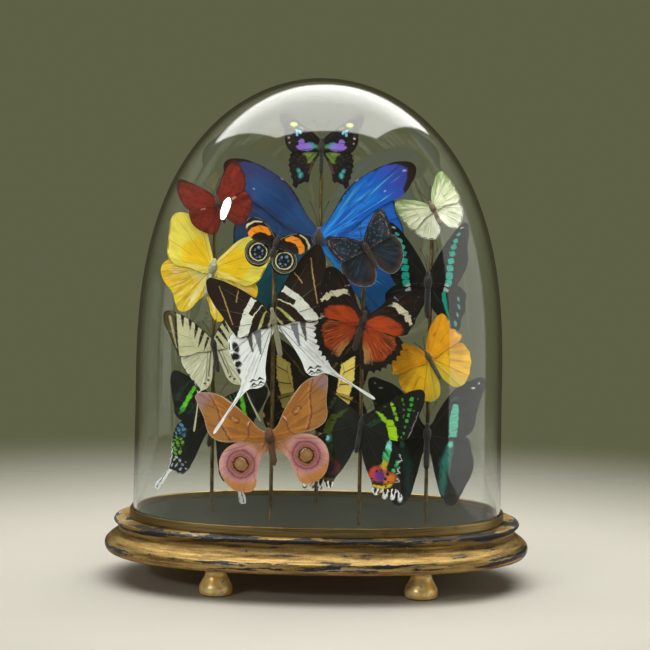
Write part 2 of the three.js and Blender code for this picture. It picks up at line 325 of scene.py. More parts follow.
class Nodes:
    """A node tree that is built in words."""

    def __init__(self, tree):
        self.tree = tree

    def node(self, kind, settings=None, inputs=None, output=0):
        """Adds a node: its settings, then its sockets' values or links; gives one output."""
        made = self.tree.nodes.new("ShaderNode" + kind)
        for key, value in (settings or {}).items():
            setattr(made, key, value)
        for key, value in (inputs or {}).items():
            if isinstance(value, Value):
                self.tree.links.new(value.socket, made.inputs[key])
            else:
                made.inputs[key].default_value = value
        return Value(self, made.outputs[output])

    def vector(self, operation, *inputs, output=0):
        return self.node("VectorMath", {"operation": operation}, dict(enumerate(inputs)), output)

    def part(self, vector, axis=0):
        """One of a vector's three numbers."""
        return self.node("SeparateXYZ", inputs={0: vector}, output=axis)

    def step(self, value, low, high):
        """0 below low and 1 above high, smooth between; low may be the higher of the two."""
        return self.node(
            "MapRange", {"interpolation_type": "SMOOTHSTEP"},
            {"Value": value, "From Min": low, "From Max": high},
        )

    def between_steps(self, value, low, high, soft):
        """1 where a value lies from low to high, with soft ends."""
        return self.step(value, low - soft, low + soft) * self.step(value, high + soft, high - soft)

    def mix(self, first, second, share):
        """A colour that goes from first to second as share goes from 0 to 1."""
        pair = [c if isinstance(c, Value) else (*c, 1) for c in (first, second)]
        return self.node("Mix", {"data_type": "RGBA"}, {0: share, 6: pair[0], 7: pair[1]}, 2)

    def place(self, scale=(1, 1, 1), turn=(0, 0, 0)):
        """The place on the piece in millimetres, stretched by scale."""
        spot = self.node("TexCoord", output="Object")
        stretched = tuple(s / MM for s in scale)
        return self.node("Mapping", {}, {"Vector": spot, "Rotation": turn, "Scale": stretched})

    def noise(self, vector, scale, detail, roughness=0.5, output="Fac"):
        return self.node(
            "TexNoise", {},
            {"Vector": vector, "Scale": scale, "Detail": detail, "Roughness": roughness}, output,
        )

    def depth_in(self, spot, corners):
        """How deep a place lies inside flat sides, whose corners go round either way."""
        sides = sides_of(corners)
        if sum(x0 * y1 - x1 * y0 for (x0, y0), (x1, y1) in sides) < 0:
            sides = [(b, a) for a, b in sides]
        depths = []
        for (x0, y0), (x1, y1) in sides:
            length = math.hypot(x1 - x0, y1 - y0)
            across = ((y0 - y1) / length, (x1 - x0) / length, 0)
            away = self.vector("DOT_PRODUCT", spot, across, output="Value")
            depths.append(away - (across[0] * x0 + across[1] * y0))
        return least(depths)


class Finish(Nodes):
    """A material and the nodes behind its shader."""

    def __init__(self, name, **constants):
        self.material = bpy.data.materials.new(name)
        self.material.use_nodes = True
        super().__init__(self.material.node_tree)
        self.shader = self.tree.nodes["Principled BSDF"]
        for key, value in constants.items():
            socket = key.replace("_", " ").title().replace("Ior", "IOR")
            self.shader.inputs[socket].default_value = value

    def feed(self, socket, value):
        self.tree.links.new(value.socket, self.shader.inputs[socket])

    def through(self, share, clear):
        """Ends in a mix of the shader with a clear one."""
        own = Value(self, self.shader.outputs[0])
        both = self.node("MixShader", inputs={0: share, 1: own, 2: clear})
        self.tree.links.new(both.socket, self.tree.nodes["Material Output"].inputs["Surface"])

    def bump(self, height, distance, strength):
        """Feeds the shader's normal with relief of a height from 0 to 1, distance mm deep."""
        made = self.node(
            "Bump", {}, {"Height": height, "Distance": distance * MM, "Strength": strength}, "Normal",
        )
        self.feed("Normal", made)


def glass():
    """Clear glass with a faint grey-green body, which lets lamps through to what is inside."""
    made = Finish("dome_glass", roughness=0.0, ior=1.5, transmission_weight=1.0)
    made.shader.inputs["Base Color"].default_value = (0.965, 0.985, 0.972, 1)
    lamp = made.node("LightPath", output="Is Shadow Ray")
    made.through(lamp, made.node("BsdfTransparent", inputs={"Color": (0.97, 0.98, 0.975, 1)}))
    return made.material


def worn_gold(foot):
    """Water gilding over red bole, white gesso and blue-black ground, rubbed and chipped, with painted
    shade under the lip and over the middle slope, and painted highlight mixed into the pale gesso edges and
    flecks.
    """
    made = Finish("gilded_wood")
    spot = made.place()
    across = made.part(spot)
    height = made.part(spot, 2) - foot
    long = made.noise(made.place((0.02, 0.02, 0.34)), 1, detail=6, roughness=0.66)
    flakes = made.noise(made.place((0.034, 0.034, 0.30)), 1, detail=10, roughness=0.68)
    patches = made.noise(made.place((0.012, 0.012, 0.05)), 1, detail=2)
    fine = made.noise(spot, 0.8, detail=6, roughness=0.65)
    ragged = height + (patches - 0.5) * 4
    gold = made.mix(rgb("6e5830"), rgb("bc9e60"), made.step(long, 0.36, 0.6))
    # Patchy darker brown over the middle slope, 11 to 23 mm up, is painted shade that tones down the light
    # the slope catches.
    slope = made.between_steps(height, 11, 23, 3)
    gold = made.mix(gold, rgb("5c4018"), slope * made.step(flakes, 0.36, 0.54) * 0.45)
    gold = made.mix(gold, rgb("efe0b8"), made.step(fine, 0.54, 0.76) * 0.5)
    gold = made.mix(gold, rgb("a2642c"), made.step(long, 0.58, 0.7) * made.step(flakes, 0.42, 0.6) * 0.5)
    gold = made.mix(gold, rgb("3e3018"), made.step(flakes, 0.54, 0.6) * made.step(fine, 0.4, 0.6) * 0.8)
    # The extra bare dark ground in the cove under the lip, deeper towards the right, is partly chipped
    # gilding and partly painted shade under the lip, so the bare-ground mask holds both.
    under_lip_shade_and_wear = made.between_steps(ragged, 23.6, 28.2, 1.3) * (0.155 + across * 0.0003)
    nose = made.between_steps(ragged, 4.2, 10.8, 1.6) * 0.095
    lip = made.between_steps(height, 27.5, 31, 0.6) * 0.05
    lost_gilt_and_shade = flakes + under_lip_shade_and_wear + nose + lip + (patches - 0.5) * 0.2
    bared_and_shaded = made.step(lost_gilt_and_shade, 0.6, 0.615)
    # Pale lines along the chip borders and pale flecks on the bare ground are partly exposed gesso and
    # partly painted highlight.
    border = made.between_steps(lost_gilt_and_shade, 0.592, 0.606, 0.006) * made.step(long, 0.47, 0.55)
    gesso_and_highlight = border + made.step(fine, 0.62, 0.68) * bared_and_shaded * made.step(patches, 0.45, 0.6) * 0.7
    dusty = made.step(long, 0.48, 0.62) * made.step(fine, 0.36, 0.6)
    ground = made.mix(rgb("0b0a0a"), rgb("474c54"), dusty)
    red = made.step(height, 5.5, 3.2) * made.step(flakes + (patches - 0.5) * 0.5, 0.44, 0.56)
    colour = made.mix(gold, rgb("93481a"), red * 0.75)
    colour = made.mix(colour, ground, bared_and_shaded)
    colour = made.mix(colour, rgb("b4b0aa"), gesso_and_highlight * 0.85)
    made.feed("Base Color", colour)
    # The surface is not metal where the ground, the pale edges and the bole show, painted shade and painted
    # highlight included.
    unmetallic_share = made.node("Clamp", inputs={0: bared_and_shaded + gesso_and_highlight + red * 0.4})
    made.feed("Metallic", 0.9 - unmetallic_share * 0.88)
    made.feed("Roughness", fine * 0.26 + 0.4 + gesso_and_highlight * 0.2)
    made.bump(long * 0.5 + fine * 0.3 - bared_and_shaded * 0.7, 1.0, 0.8)
    return made.material


def foot_gold():
    """Bright leaf with overlapping sheets and fine cracks, darker at the bottom edge, with painted shade on
    the neck under the plinth.
    """
    made = Finish("gilded_foot", metallic=0.45)
    here = made.place()
    sheets = made.noise(made.place((0.11, 0.11, 0.16)), 1, detail=4, roughness=0.6)
    cracks = made.node(
        "TexVoronoi", {"feature": "DISTANCE_TO_EDGE"},
        {"Vector": made.place((1, 1, 1.4)), "Scale": 0.26, "Randomness": 1.0},
    )
    fine = made.noise(here, 1.1, detail=5)
    lines = made.step(cracks, 0.05, 0.015) * made.step(sheets, 0.56, 0.64)
    gold = made.mix(rgb("f2c25e"), rgb("ffeaac"), made.step(sheets, 0.36, 0.62))
    gold = made.mix(gold, rgb("5a3c18"), lines * 0.85)
    height = made.part(here, 2)
    # The neck is darkened with painted shade where the plinth overhangs it; a thin band at the bottom edge
    # is darker too.
    shaded_neck_and_dark_base = made.between_steps(height, -2, 0.9, 0.4) + made.step(height, 16, 21) * 0.9
    made.feed("Base Color", made.mix(gold, rgb("3a2812"), shaded_neck_and_dark_base * made.step(fine, 0.2, 0.5)))
    made.feed("Roughness", fine * 0.2 + 0.24 + lines * 0.3)
    made.bump(sheets * 0.6 + fine * 0.2 - lines * 0.6, 0.5, 0.7)
    return made.material


def aged_brass(name, light, dark, rough, grain, patina):
    """Brass brushed along grain, browned in patches where patina is high."""
    made = Finish(name, metallic=1.0)
    brushed = made.noise(made.place(grain), 1, detail=4, roughness=0.6)
    spotted = made.noise(made.place((0.05, 0.05, 0.05)), 1, detail=5, roughness=0.6)
    colour = made.mix(rgb(dark), rgb(light), made.step(brushed, 0.25, 0.7))
    colour = made.mix(colour, rgb("3b2a18"), made.step(spotted, 0.62 - 0.12 * patina, 0.74) * patina)
    made.feed("Base Color", colour)
    made.feed("Roughness", brushed * 0.16 + (rough - 0.08) + made.step(spotted, 0.5, 0.7) * 0.1)
    made.bump(brushed, 0.12, 0.5)
    return made.material


def painted_board():
    """Dark green paint on board with a dull polish and faint scuffs."""
    made = Finish("floor_board", coat_weight=0.04, coat_roughness=0.2, specular_ior_level=0.15)
    cloud = made.noise(made.place((0.02, 0.02, 0.02)), 1, detail=4)
    speck = made.noise(made.place(), 0.7, detail=5, roughness=0.7)
    scuffs = made.noise(made.place((0.03, 0.4, 1), (0, 0, 0.4)), 1, detail=4, roughness=0.7)
    colour = made.mix(rgb("10130c"), rgb("191d13"), made.step(cloud, 0.35, 0.65))
    colour = made.mix(colour, rgb("3a4034"), made.step(scuffs, 0.62, 0.75) * 0.5)
    made.feed("Base Color", made.mix(colour, rgb("0e110c"), made.step(speck, 0.6, 0.72) * 0.6))
    made.feed("Roughness", speck * 0.2 + 0.3)
    made.bump(speck, 0.08, 0.5)
    return made.material


# ---------------------------------------------------------------- stand and dome

RING_WALL = 2.0
BOARD_BEVEL = 0.5
# The dome narrows by its taper up to its shoulder, and from there it is rounded in rows
# that end in a ring so small that it closes in a point.
DOME_WALL = 2.6
DOME_SHOULDER = 150
DOME_TAPER = 0.016
DOME_ROUNDING = 2.7
DOME_ROWS = 56
DOME_LAST_RISE = 0.99995
DOME_POLE_REACH = 4
FOOT_SIDES = 48
ROD_SIDES = 20


def add_plinth():
    low, high = size_of("plinth")
    nose = (high.x - low.x) / 2
    narrower = (high.x - low.x - high.y + low.y) / 2
    foot, top = low.z, high.z
    section = [
        (nose - 12, foot), (nose - 7, foot + 0.4), (nose - 3, foot + 1.7), (nose - 0.9, foot + 4.2),
        (nose, foot + 7.2), (nose - 0.5, foot + 9.8), (nose - 2.3, foot + 11.6),
        (nose - 3.4, foot + 12.6), (nose - 5.2, foot + 14), (nose - 8, foot + 16),
        (nose - 10.6, foot + 18.3), (nose - 11.3, foot + 20.2), (nose - 10.4, foot + 22.6),
        (nose - 8.8, foot + 24.6), (nose - 7.5, foot + 26.2), (nose - 7.9, foot + 27.6),
        (nose - 9.6, top - 0.3), (nose - 12, top),
    ]
    rings = [(length, length - narrower, z) for length, z in rounded(section, 4)]
    piece = extruded("gilded_plinth", rings, OVAL_SIDES, oval=True)
    smooth(piece)
    finish(piece, "plinth", "gilded_wood", worn_gold(foot))


def add_ring():
    low, high = size_of("brass_ring")
    outer = high.x
    inner = outer - RING_WALL
    narrower = outer - high.y
    section = [
        (inner, low.z), (outer, low.z), (outer, high.z - 0.9), (outer - 0.25, high.z - 0.25),
        (outer - 0.9, high.z), (outer - 1.5, high.z - 0.2), (inner, high.z - 0.7),
        (inner, low.z),
    ]
    rings = [(length, length - narrower, z) for length, z in section]
    piece = extruded("brass_collar", rings, OVAL_SIDES, oval=True, closed=True)
    smooth(piece, 30)
    brass = aged_brass("brass", "a08a5c", "6a5532", 0.4, (0.03, 0.03, 1.6), 0.5)
    finish(piece, "brass_ring", "brass", brass)


def add_floor_panel():
    low, high = size_of("floor_panel")
    rings = [
        (high.x, high.y, low.z), (high.x, high.y, high.z - BOARD_BEVEL),
        (high.x - BOARD_BEVEL, high.y - BOARD_BEVEL, high.z),
    ]
    piece = extruded("floor_board", rings, OVAL_SIDES, oval=True)
    smooth(piece, 30)
    finish(piece, "floor_panel", "floor_board", painted_board())


def add_dome():
    low, high = size_of("glass_dome")
    rings = []
    for row in range(DOME_ROWS):
        quarter = row / (DOME_ROWS - 1) * math.pi / 2
        rise = math.sin(quarter) if row < DOME_ROWS - 1 else DOME_LAST_RISE
        z = DOME_SHOULDER + rise * (high.z - DOME_SHOULDER)
        share = math.sqrt(1 - rise ** DOME_ROUNDING)
        narrowed = 1 - DOME_TAPER * (DOME_SHOULDER - low.z) / high.x
        rings.append((high.x * narrowed * share, high.y * narrowed * share, z))
    rings.insert(0, (high.x, high.y, low.z))
    piece = extruded("clear_dome", rings, OVAL_SIDES, oval=True, filled=False)
    edit(piece)
    bpy.ops.mesh.select_mode(type="EDGE")
    bpy.ops.mesh.select_all(action="DESELECT")
    bpy.ops.object.mode_set(mode="OBJECT")
    for vertex in piece.data.vertices:
        x, y, z = vertex.co
        vertex.select = z > high.z - 0.5 and math.hypot(x, y) < DOME_POLE_REACH
    bpy.ops.object.mode_set(mode="EDIT")
    bpy.ops.mesh.select_mode(type="VERT")
    bpy.ops.mesh.merge(type="CENTER")
    close_edit()
    modify(piece, "SOLIDIFY", thickness=DOME_WALL, offset=-1)
    smooth(piece, 60)
    finish(piece, "glass_dome", "dome_glass", glass())


FOOT_SECTION = [
    (11.6, 0), (12.4, 0.5), (13.1, 2.4), (13.2, 4.6), (12.7, 7.4), (11.4, 10), (9.9, 12.6),
    (8.9, 14.6), (8.4, 16.6), (8.3, 18.4), (8.5, 22.2),
]


def add_feet():
    gold = foot_gold()
    rings = [(radius, radius, z) for radius, z in rounded(FOOT_SECTION, 3)]
    for end in ("front", "back"):
        for side in ("left", "right"):
            node = f"foot_{end}_{side}"
            piece = extruded(f"bun_{node}", rings, FOOT_SIDES)
            smooth(piece)
            finish(piece, node, "gilded_foot", gold, place_of(node))


ROD_RADIUS = 1.5


def add_rods():
    brass = aged_brass("rod_brass", "8f7c52", "4c3d22", 0.4, (0.6, 0.6, 0.12), 0.9)
    for node in ("rod_far_left", "rod_left", "rod_middle", "rod_right", "rod_far_right"):
        low, high = size_of(node)
        section = [(1, low.z), (1, high.z - 1), (0.8, high.z - 0.3), (0.3, high.z)]
        rings = [(part * ROD_RADIUS, part * ROD_RADIUS, z) for part, z in section]
        piece = extruded(node.replace("rod", "brass_rod"), rings, ROD_SIDES)
        smooth(piece)
        finish(piece, node, "rod_brass", brass, place_of(node))


# ---------------------------------------------------------------- wing paints

# A wing's rays are counted in shares from its leading edge to its trailing one, and veins
# part them evenly. The open cell lies between two shares, out to a part of their reach.
VEINS = 8
CELL = (2 / VEINS, 5 / VEINS, 0.5)


class WingPaint(Finish):
    """A wing's scales in layers over a ground colour, placed in steps of the wing's outline."""

    def __init__(self, name, ground, waver=1.0, rough=0.55, metallic=0.0):
        super().__init__(name, roughness=rough, metallic=metallic)
        flat = self.node("UVMap", {"uv_map": "wing"})
        self.flat = flat
        shift = self.noise(flat, 0.28, detail=3, output="Color")
        centred = self.vector("SUBTRACT", shift, (0.5, 0.5, 0.5))
        self.spot = self.vector("MULTIPLY_ADD", centred, (waver * 4, waver * 4, 0), flat)
        fan = self.node("UVMap", {"uv_map": "fan"})
        self.share = self.part(fan)
        self.out = self.part(fan, 1)
        self.fan = fan
        self.edge = self.part(self.node("UVMap", {"uv_map": "rim"}))
        self.reach = self.vector("LENGTH", flat, output="Value")
        self.depth = self.reach / self.out - self.reach
        self.wander = self.noise(flat, 0.5, detail=2)
        self.scales = self.noise(flat, 2.6, detail=2, roughness=0.7)
        self.colour = self.mix(rgb(ground), rgb(ground), 0)

    def lay(self, mask, code, strength):
        """A layer of another colour where the mask is 1, at full strength or thinner."""
        self.colour = self.mix(self.colour, rgb(code), mask * strength)

    def local(self, x, y, angle, width=1, height=1):
        """The wing's map moved, turned and shrunk so that a mark lies round its origin."""
        return self.node("Mapping", {"vector_type": "TEXTURE"}, {
            "Vector": self.spot, "Location": (x, y, 0),
            "Rotation": (0, 0, math.radians(angle)), "Scale": (width, height, 1),
        })

    def spots(self, marks, code, strength=1.0, soft=0.25, square=False, hollow=0.0):
        """Ovals, or squared ones, each (x, y, half width, half height, angle).

        The angle may be left out. Hollow ones are rings, this share of their size thick.
        """
        distances = []
        for x, y, width, height, *angle in marks:
            place = self.local(x, y, angle[0] if angle else 0, width, height)
            if square:
                place = self.vector("MULTIPLY", place, place)
            distances.append(self.vector("LENGTH", place, output="Value"))
        nearest = least(distances)
        if hollow:
            nearest = abs(nearest - 1)
        far = hollow or 1
        self.lay(self.step(nearest, far * (1 + soft), far * (1 - soft)), code, strength)

    def band(self, points, code, strength=1.0, soft=0.5):
        """A stroke through (x, y, half width) points."""
        distances = []
        for (x0, y0, w0), (x1, y1, w1) in zip(points, points[1:]):
            half = math.hypot(x1 - x0, y1 - y0) / 2
            turn = math.degrees(math.atan2(y1 - y0, x1 - x0))
            place = self.local((x0 + x1) / 2, (y0 + y1) / 2, turn)
            beyond = self.vector("SUBTRACT", self.vector("ABSOLUTE", place), (half, 0, 0))
            away = self.vector("LENGTH", self.vector("MAXIMUM", beyond, (0, 0, 0)), output="Value")
            width = w0
            if w0 != w1:
                width = self.node("MapRange", {}, {
                    "Value": self.part(place), "From Min": -half, "From Max": half,
                    "To Min": w0, "To Max": w1,
                })
            distances.append(away - width)
        self.lay(self.step(least(distances), soft, -soft), code, strength)

    def panel(self, corners, code, strength=1.0, soft=0.5):
        """A flat-sided patch inside its corners, in either order round it."""
        self.lay(self.step(self.depth_in(self.spot, corners), -soft, soft), code, strength)

    def specks(self, code, strength, scale, share, start=0.0, end=1.2):
        """Fine dots scattered over the part of the wing from start to end of its reach."""
        dots = self.node("TexVoronoi", inputs={"Vector": self.spot, "Scale": scale})
        mask = self.step(dots, share, share * 0.5) * self.between_steps(self.out, start, end, 0.08)
        self.lay(mask, code, strength)

    def rim(self, width, code, strength, first=-1.0, last=2.0, inner=0.0, soft=0.6, outer=False):
        """A margin of a width in from the edge, or only where the fan's rays leave the wing."""
        edge = (self.depth if outer else self.edge) + (self.wander - 0.5) * 1.6
        if inner:
            mask = self.between_steps(edge, inner, width, soft)
        else:
            mask = self.step(edge, width + soft, width - soft)
        if first > 0 or last < 1:
            mask = mask * self.between_steps(self.share, first, last, 0.05)
        self.lay(mask, code, strength)

    def lunules(self, inner, size, code, strength, count, first, last):
        """A row of marks along the margin, one between each pair of veins."""
        cell = (self.share * count) % 1.0
        across = abs(cell - 0.5) * 2.6
        away = abs(self.depth - inner) / size
        mask = self.step(across * across + away * away, 1.25, 0.7)
        self.lay(mask * self.between_steps(self.share, first, last, 0.03), code, strength)

    def veins(self, code, strength, width):
        """Lines along the rays of the fan, round an open cell that a line across closes."""
        gap = (self.share * VEINS + 0.5) % 1.0
        away = abs(gap - 0.5) * self.reach * (1.9 / VEINS)
        first, last, far = CELL
        beside = self.between_steps(self.share, first, last, 0.01)
        open_cell = beside * self.step(self.out, far, far - 0.03)
        line = self.step(away, width, width * 0.3) * (1 - open_cell)
        closing = self.step(abs(self.out - far) * self.reach * 2, width, width * 0.3)
        self.lay(line.math("MAXIMUM", closing * beside), code, strength)

    def streaks(self, code, strength, fineness, low, high, start=0.0, end=1.2):
        """Fine rays of another colour running out from the root."""
        along = self.vector("MULTIPLY", self.fan, (fineness, 2.2, 0))
        mask = self.step(self.noise(along, 1, detail=3), low, high)
        self.lay(mask * self.between_steps(self.out, start, end, 0.12), code, strength)

    def shade(self, inside, beyond, code, strength):
        """Another colour that comes in from the point inside to the point beyond it."""
        (x0, y0), (x1, y1) = inside, beyond
        run = (x1 - x0) ** 2 + (y1 - y0) ** 2
        slope = ((x1 - x0) / run, (y1 - y0) / run, 0)
        along = self.vector("DOT_PRODUCT", self.spot, slope, output="Value")
        start = (x0 * (x1 - x0) + y0 * (y1 - y0)) / run
        self.lay(self.step(along, start, start + 1), code, strength)

    def left_of(self, middle):
        """1 left of a place across the stand in millimetres, with a soft change."""
        return self.step(self.part(self.place()), middle, middle - 4)

    def done(self, gloss):
        """Breaks the colour up into scales and feeds the shader."""
        fibres = self.noise(self.vector("MULTIPLY", self.fan, (70, 5, 0)), 1, detail=3)
        light = self.scales * 0.4 + fibres * 0.5 + 0.55
        grey = self.node("CombineXYZ", inputs={0: light, 1: light, 2: light})
        grained = self.vector("MULTIPLY", self.colour, grey)
        self.feed("Base Color", grained)
        rough = self.shader.inputs["Roughness"].default_value
        self.feed("Roughness", self.scales * 0.2 + (rough - 0.1))
        self.shader.inputs["Specular IOR Level"].default_value = gloss * 0.6
        self.bump(self.scales * 0.5 + self.wander * 0.5, 0.12, 0.6)
        return self.material


def purple_spotted(fore, hind):
    fore.band([(2, 0.5, 1), (11, 2, 3.4)], "3f7f42", 0.9, 1)
    fore.spots([(9.5, 1.6, 3.6, 2.6)], "3f8e94", 0.7, 0.6)
    fore.spots([(17, 0.6, 8, 4), (20, 5.6, 3.2, 3.4)], "8460bd", 1, 0.2)
    fore.spots([(12, 1.6, 3.4, 2.8)], "6a78c4", 0.6, 0.7)
    fore.spots([(21.5, 15.2, 1.5, 2.2, -30), (24.4, 13.6, 1.4, 2.6, -10), (24.8, 17, 1.1, 1.5, -30)],
               "83c3d8")
    fore.spots([(28, 23, 3.4, 2.6)], "b9c257")
    fore.spots([(20, 19.5, 2, 0.8, 40)], "7c9a3a")
    fore.spots([(32.5, 10, 0.8, 1.1), (32.5, 5, 0.7, 1), (36, 27, 0.8, 0.9), (31, 30, 0.8, 0.7)], "b0948a")
    hind.panel([(2, -2), (10, -15), (14, -16), (15.5, -6), (8, -1)], "5e7a2a")
    hind.spots([(14.5, -6, 4, 1.8, -10)], "8d9c58", 0.7, 0.5)
    hind.band([(8, -14, 0.8), (12, -25, 1.3)], "5a4038", 0.9, 1)
    hind.spots([(22.5, -23, 2.3, 2.3), (20.5, -27.5, 2.4, 3, 20)], "2f8a8c", 1, 0.35)
    hind.spots([(22.5, -23, 1, 1), (20.5, -28, 0.9, 1.2)], "63b4b0", 0.8, 0.5)
    hind.specks("3b2722", 0.7, 0.32, 0.4, 0.4, 0.95)


def blue_morpho(fore, hind):
    fore.shade((52, 50), (84, 66), "423fa2", 0.85)
    fore.streaks("2a9bff", 0.9, 26, 0.4, 0.66, 0, 0.6)
    fore.band([(4, 6, 3), (28, 44, 4), (46, 58, 2)], "2c9dfc", 0.7, 3)
    fore.streaks("0d4aa0", 0.7, 44, 0.45, 0.66, 0.2, 1.1)
    fore.streaks("5cc2ff", 0.75, 80, 0.54, 0.64, 0, 0.8)
    fore.veins("0c2f7c", 0.5, 0.8)
    hind.shade((40, 10), (56, -56), "0e4a78", 0.9)
    hind.streaks("2d90f2", 0.7, 26, 0.42, 0.68, 0, 0.7)
    hind.streaks("4cb4ff", 0.7, 80, 0.55, 0.65, 0, 0.8)
    hind.band([(3, 2, 4), (10, -14, 4), (22, -34, 2)], "2a96f0", 0.7, 3)
    hind.shade((34, -24), (10, -40), "0e5f80", 0.6)
    hind.veins("0b2c66", 0.45, 0.8)
    # Painted shade: the left wings are painted darker and duller blue than the right, standing in for how
    # their iridescent blue catches less light from this side.
    for paint in (fore, hind):
        left_wing_shade = paint.mix(rgb("22345f"), rgb("2a5a94"), paint.noise(paint.flat, 0.035, 2))
        left_wing_shade = paint.mix(left_wing_shade, rgb("3b3358"), paint.step(paint.out, 0.55, 0.95) * 0.7)
        if paint is hind:
            left_wing_shade = paint.mix(left_wing_shade, rgb("0f5060"), paint.step(paint.share, 0.35, 0.6))
        paint.colour = paint.mix(paint.colour, left_wing_shade, paint.left_of(0) * 0.93)
    hind.rim(1.6, "14222e", 0.8, 0.1, 1, outer=True)
    fore.band([(2, 14, 1.2), (10, 24.5, 1.6), (30, 56, 1.8), (47, 69, 2), (65, 78, 2.6), (82, 82, 4)],
              "20160f", 1, 0.8)
    fore.band([(80, 80, 4), (93, 77, 6.5), (92, 64, 4.6), (86, 51, 2.6)], "2a1a12", 1, 1.2)
    fore.spots([(84, 71, 2, 1.1, 20), (38, 61, 2.6, 0.8, 50)], "c0b4b8", 0.8)
    fore.spots([(65, 50, 1, 1)], "b8c0d0", 0.6)


def red_glider(fore, hind):
    for paint in (fore, hind):
        paint.streaks("8e2a12", 0.6, 16, 0.4, 0.7)
        paint.spots([(20, 10, 15, 12)], "842412", 0.5, 0.8)
        paint.specks("4e140c", 0.5, 0.22, 0.5)
        paint.veins("5a140c", 0.35, 0.5)
        paint.rim(1.1, "33120d", 0.8, outer=True)
    fore.band([(2, 8, 0.8), (10, 19, 1.4), (22, 30, 1.8), (32, 36, 3)], "2c130e", 0.9, 1)
    fore.band([(33, 33, 2.4), (37, 22, 1), (36, 12, 0.4)], "33130e", 0.8, 1)
    hind.spots([(17, -1, 2.6, 1.7, 5)], "dba686")
    hind.shade((10, -10), (3, -20), "5a1c10", 0.6)


def golden_birdwing(fore, hind):
    fore.spots([(16, 10, 17.5, 13.5, -14), (14, 14, 14, 12, 20)], "e6c00e", 0.9, 0.2, square=True)
    fore.streaks("d6a808", 0.45, 12, 0.45, 0.68, 0, 0.55)
    fore.spots([(20, 12, 10, 8)], "dcac06", 0.5, 0.9)
    fore.band([(2, 5, 1.5), (9, 21, 2), (18, 35, 2.4)], "e6d870", 0.7, 1.6)
    fore.band([(6, -2, 1.4), (24, -3, 2)], "dfd27a", 0.7, 1.6)
    fore.veins("b08c18", 0.3, 0.45)
    fore.lunules(0.8, 0.8, "7a5420", 0.8, 11, 0.25, 0.95)
    hind.spots([(42, -18, 8, 13, 15)], "dcae14", 0.85, 0.7)
    hind.streaks("b98c1c", 0.75, 26, 0.5, 0.64, 0.2, 1.1)
    hind.streaks("eadf9e", 0.6, 34, 0.5, 0.66, 0.1, 0.9)
    hind.spots([(4, -4, 14, 9)], "c6c79a", 0.85, 0.8)
    hind.band([(5, -12, 1), (12, -32, 2), (14, -42, 1)], "e9e0a8", 0.6, 1.6)
    hind.veins("a07a20", 0.45, 0.5)


def eighty_eight(fore, hind):
    fore.band([(9.5, 7, 2), (14, 9, 3), (20, 8.6, 3.2), (25.5, 4, 3.2), (28.4, -3, 2.8), (28, -7, 1.6)],
              "e8890f", soft=0.4)
    fore.band([(20, 15.5, 0.5), (27, 13.5, 0.9), (32, 8.5, 1), (34, 2, 0.6)], "c9bf92")
    fore.band([(3, 5, 0.3), (9, 11, 0.3), (17, 15.4, 0.3)], "8f8a78", 0.7, 0.3)
    fore.lunules(0.9, 0.4, "6f7688", 0.8, 11, 0.2, 0.85)
    hind.spots([(13.8, -14.4, 12.4, 12.2)], "a7a28a", 0.7, 0.1, hollow=0.03)
    hind.spots([(13.8, -14.4, 11, 10.8)], "8a856e", 0.5, 0.1, hollow=0.03)
    hind.spots([(13.6, -14.2, 8.4, 8.6, -20)], "cfc594", 1, 0.1, hollow=0.075)
    hind.spots([(13.6, -14.2, 7, 7.2, -20)], "07090c")
    hind.panel([(5, -4), (4, -9), (10, -7), (12, -4)], "0b0a09", 1, 0.4)
    hind.spots([(14.6, -9.8, 1.5, 1.5), (10.2, -11.8, 1, 1.4), (10.6, -18.4, 1.5, 1.1, 30),
                (16, -17.6, 1.2, 1), (17.4, -13, 0.9, 1.2)], "7c9cc0", 0.9, 0.5)
    hind.spots([(9, -15, 1, 0.9), (13.6, -20, 1, 0.8)], "4d64a8", soft=0.5)


def navy_brushfoot(fore, hind):
    fore.shade((4, 2), (20, 12), "15222e", 0.6)
    fore.streaks("2a4154", 0.6, 22, 0.52, 0.7)
    fore.specks("8d8088", 0.75, 0.42, 0.3, 0.55, 0.97)
    fore.specks("3f5a78", 0.7, 0.3, 0.4, 0.2, 0.8)
    fore.lunules(3.8, 0.8, "7a5a50", 0.9, 10, 0.12, 0.9)
    fore.specks("b08070", 0.7, 0.5, 0.26, 0.8, 1)
    hind.spots([(16, -14, 12, 12)], "1c2c3c", 0.9, 0.5)
    hind.streaks("2c4054", 0.5, 24, 0.5, 0.7)
    hind.streaks("0c0b0c", 0.8, 30, 0.5, 0.6)
    hind.spots([(4, -20, 4, 14, 15)], "4a3022", 0.7, 0.7)
    hind.rim(5, "3a2a24", 0.8, 0.1, 1, soft=2, outer=True)
    hind.rim(0.7, "9a9ca8", 0.6, 0.15, 0.9, soft=0.4, outer=True)
    hind.rim(2.4, "5c6070", 0.4, 0.15, 0.9, inner=1.9, soft=0.4, outer=True)


def pale_green(fore, hind):
    fore.shade((12, 14), (22, 30), "5c7434", 0.9)
    fore.band([(2, 6, 1), (14, 25, 3.4)], "6e8444", 0.85, 1.5)
    fore.streaks("d9dcc2", 0.6, 18, 0.45, 0.7)
    fore.veins("7d8c5c", 0.5, 0.6)
    hind.streaks("8f9a78", 0.7, 18, 0.5, 0.7)
    hind.streaks("dfe1cc", 0.6, 40, 0.5, 0.7)
    hind.veins("8f9b70", 0.5, 0.6)
    hind.spots([(5, -14, 4, 12, 18)], "e0e0cc", 0.7, 0.7)
    for paint in (fore, hind):
        paint.lunules(0.9, 0.7, "4a452e", 0.85, 10, 0.2, 0.95)


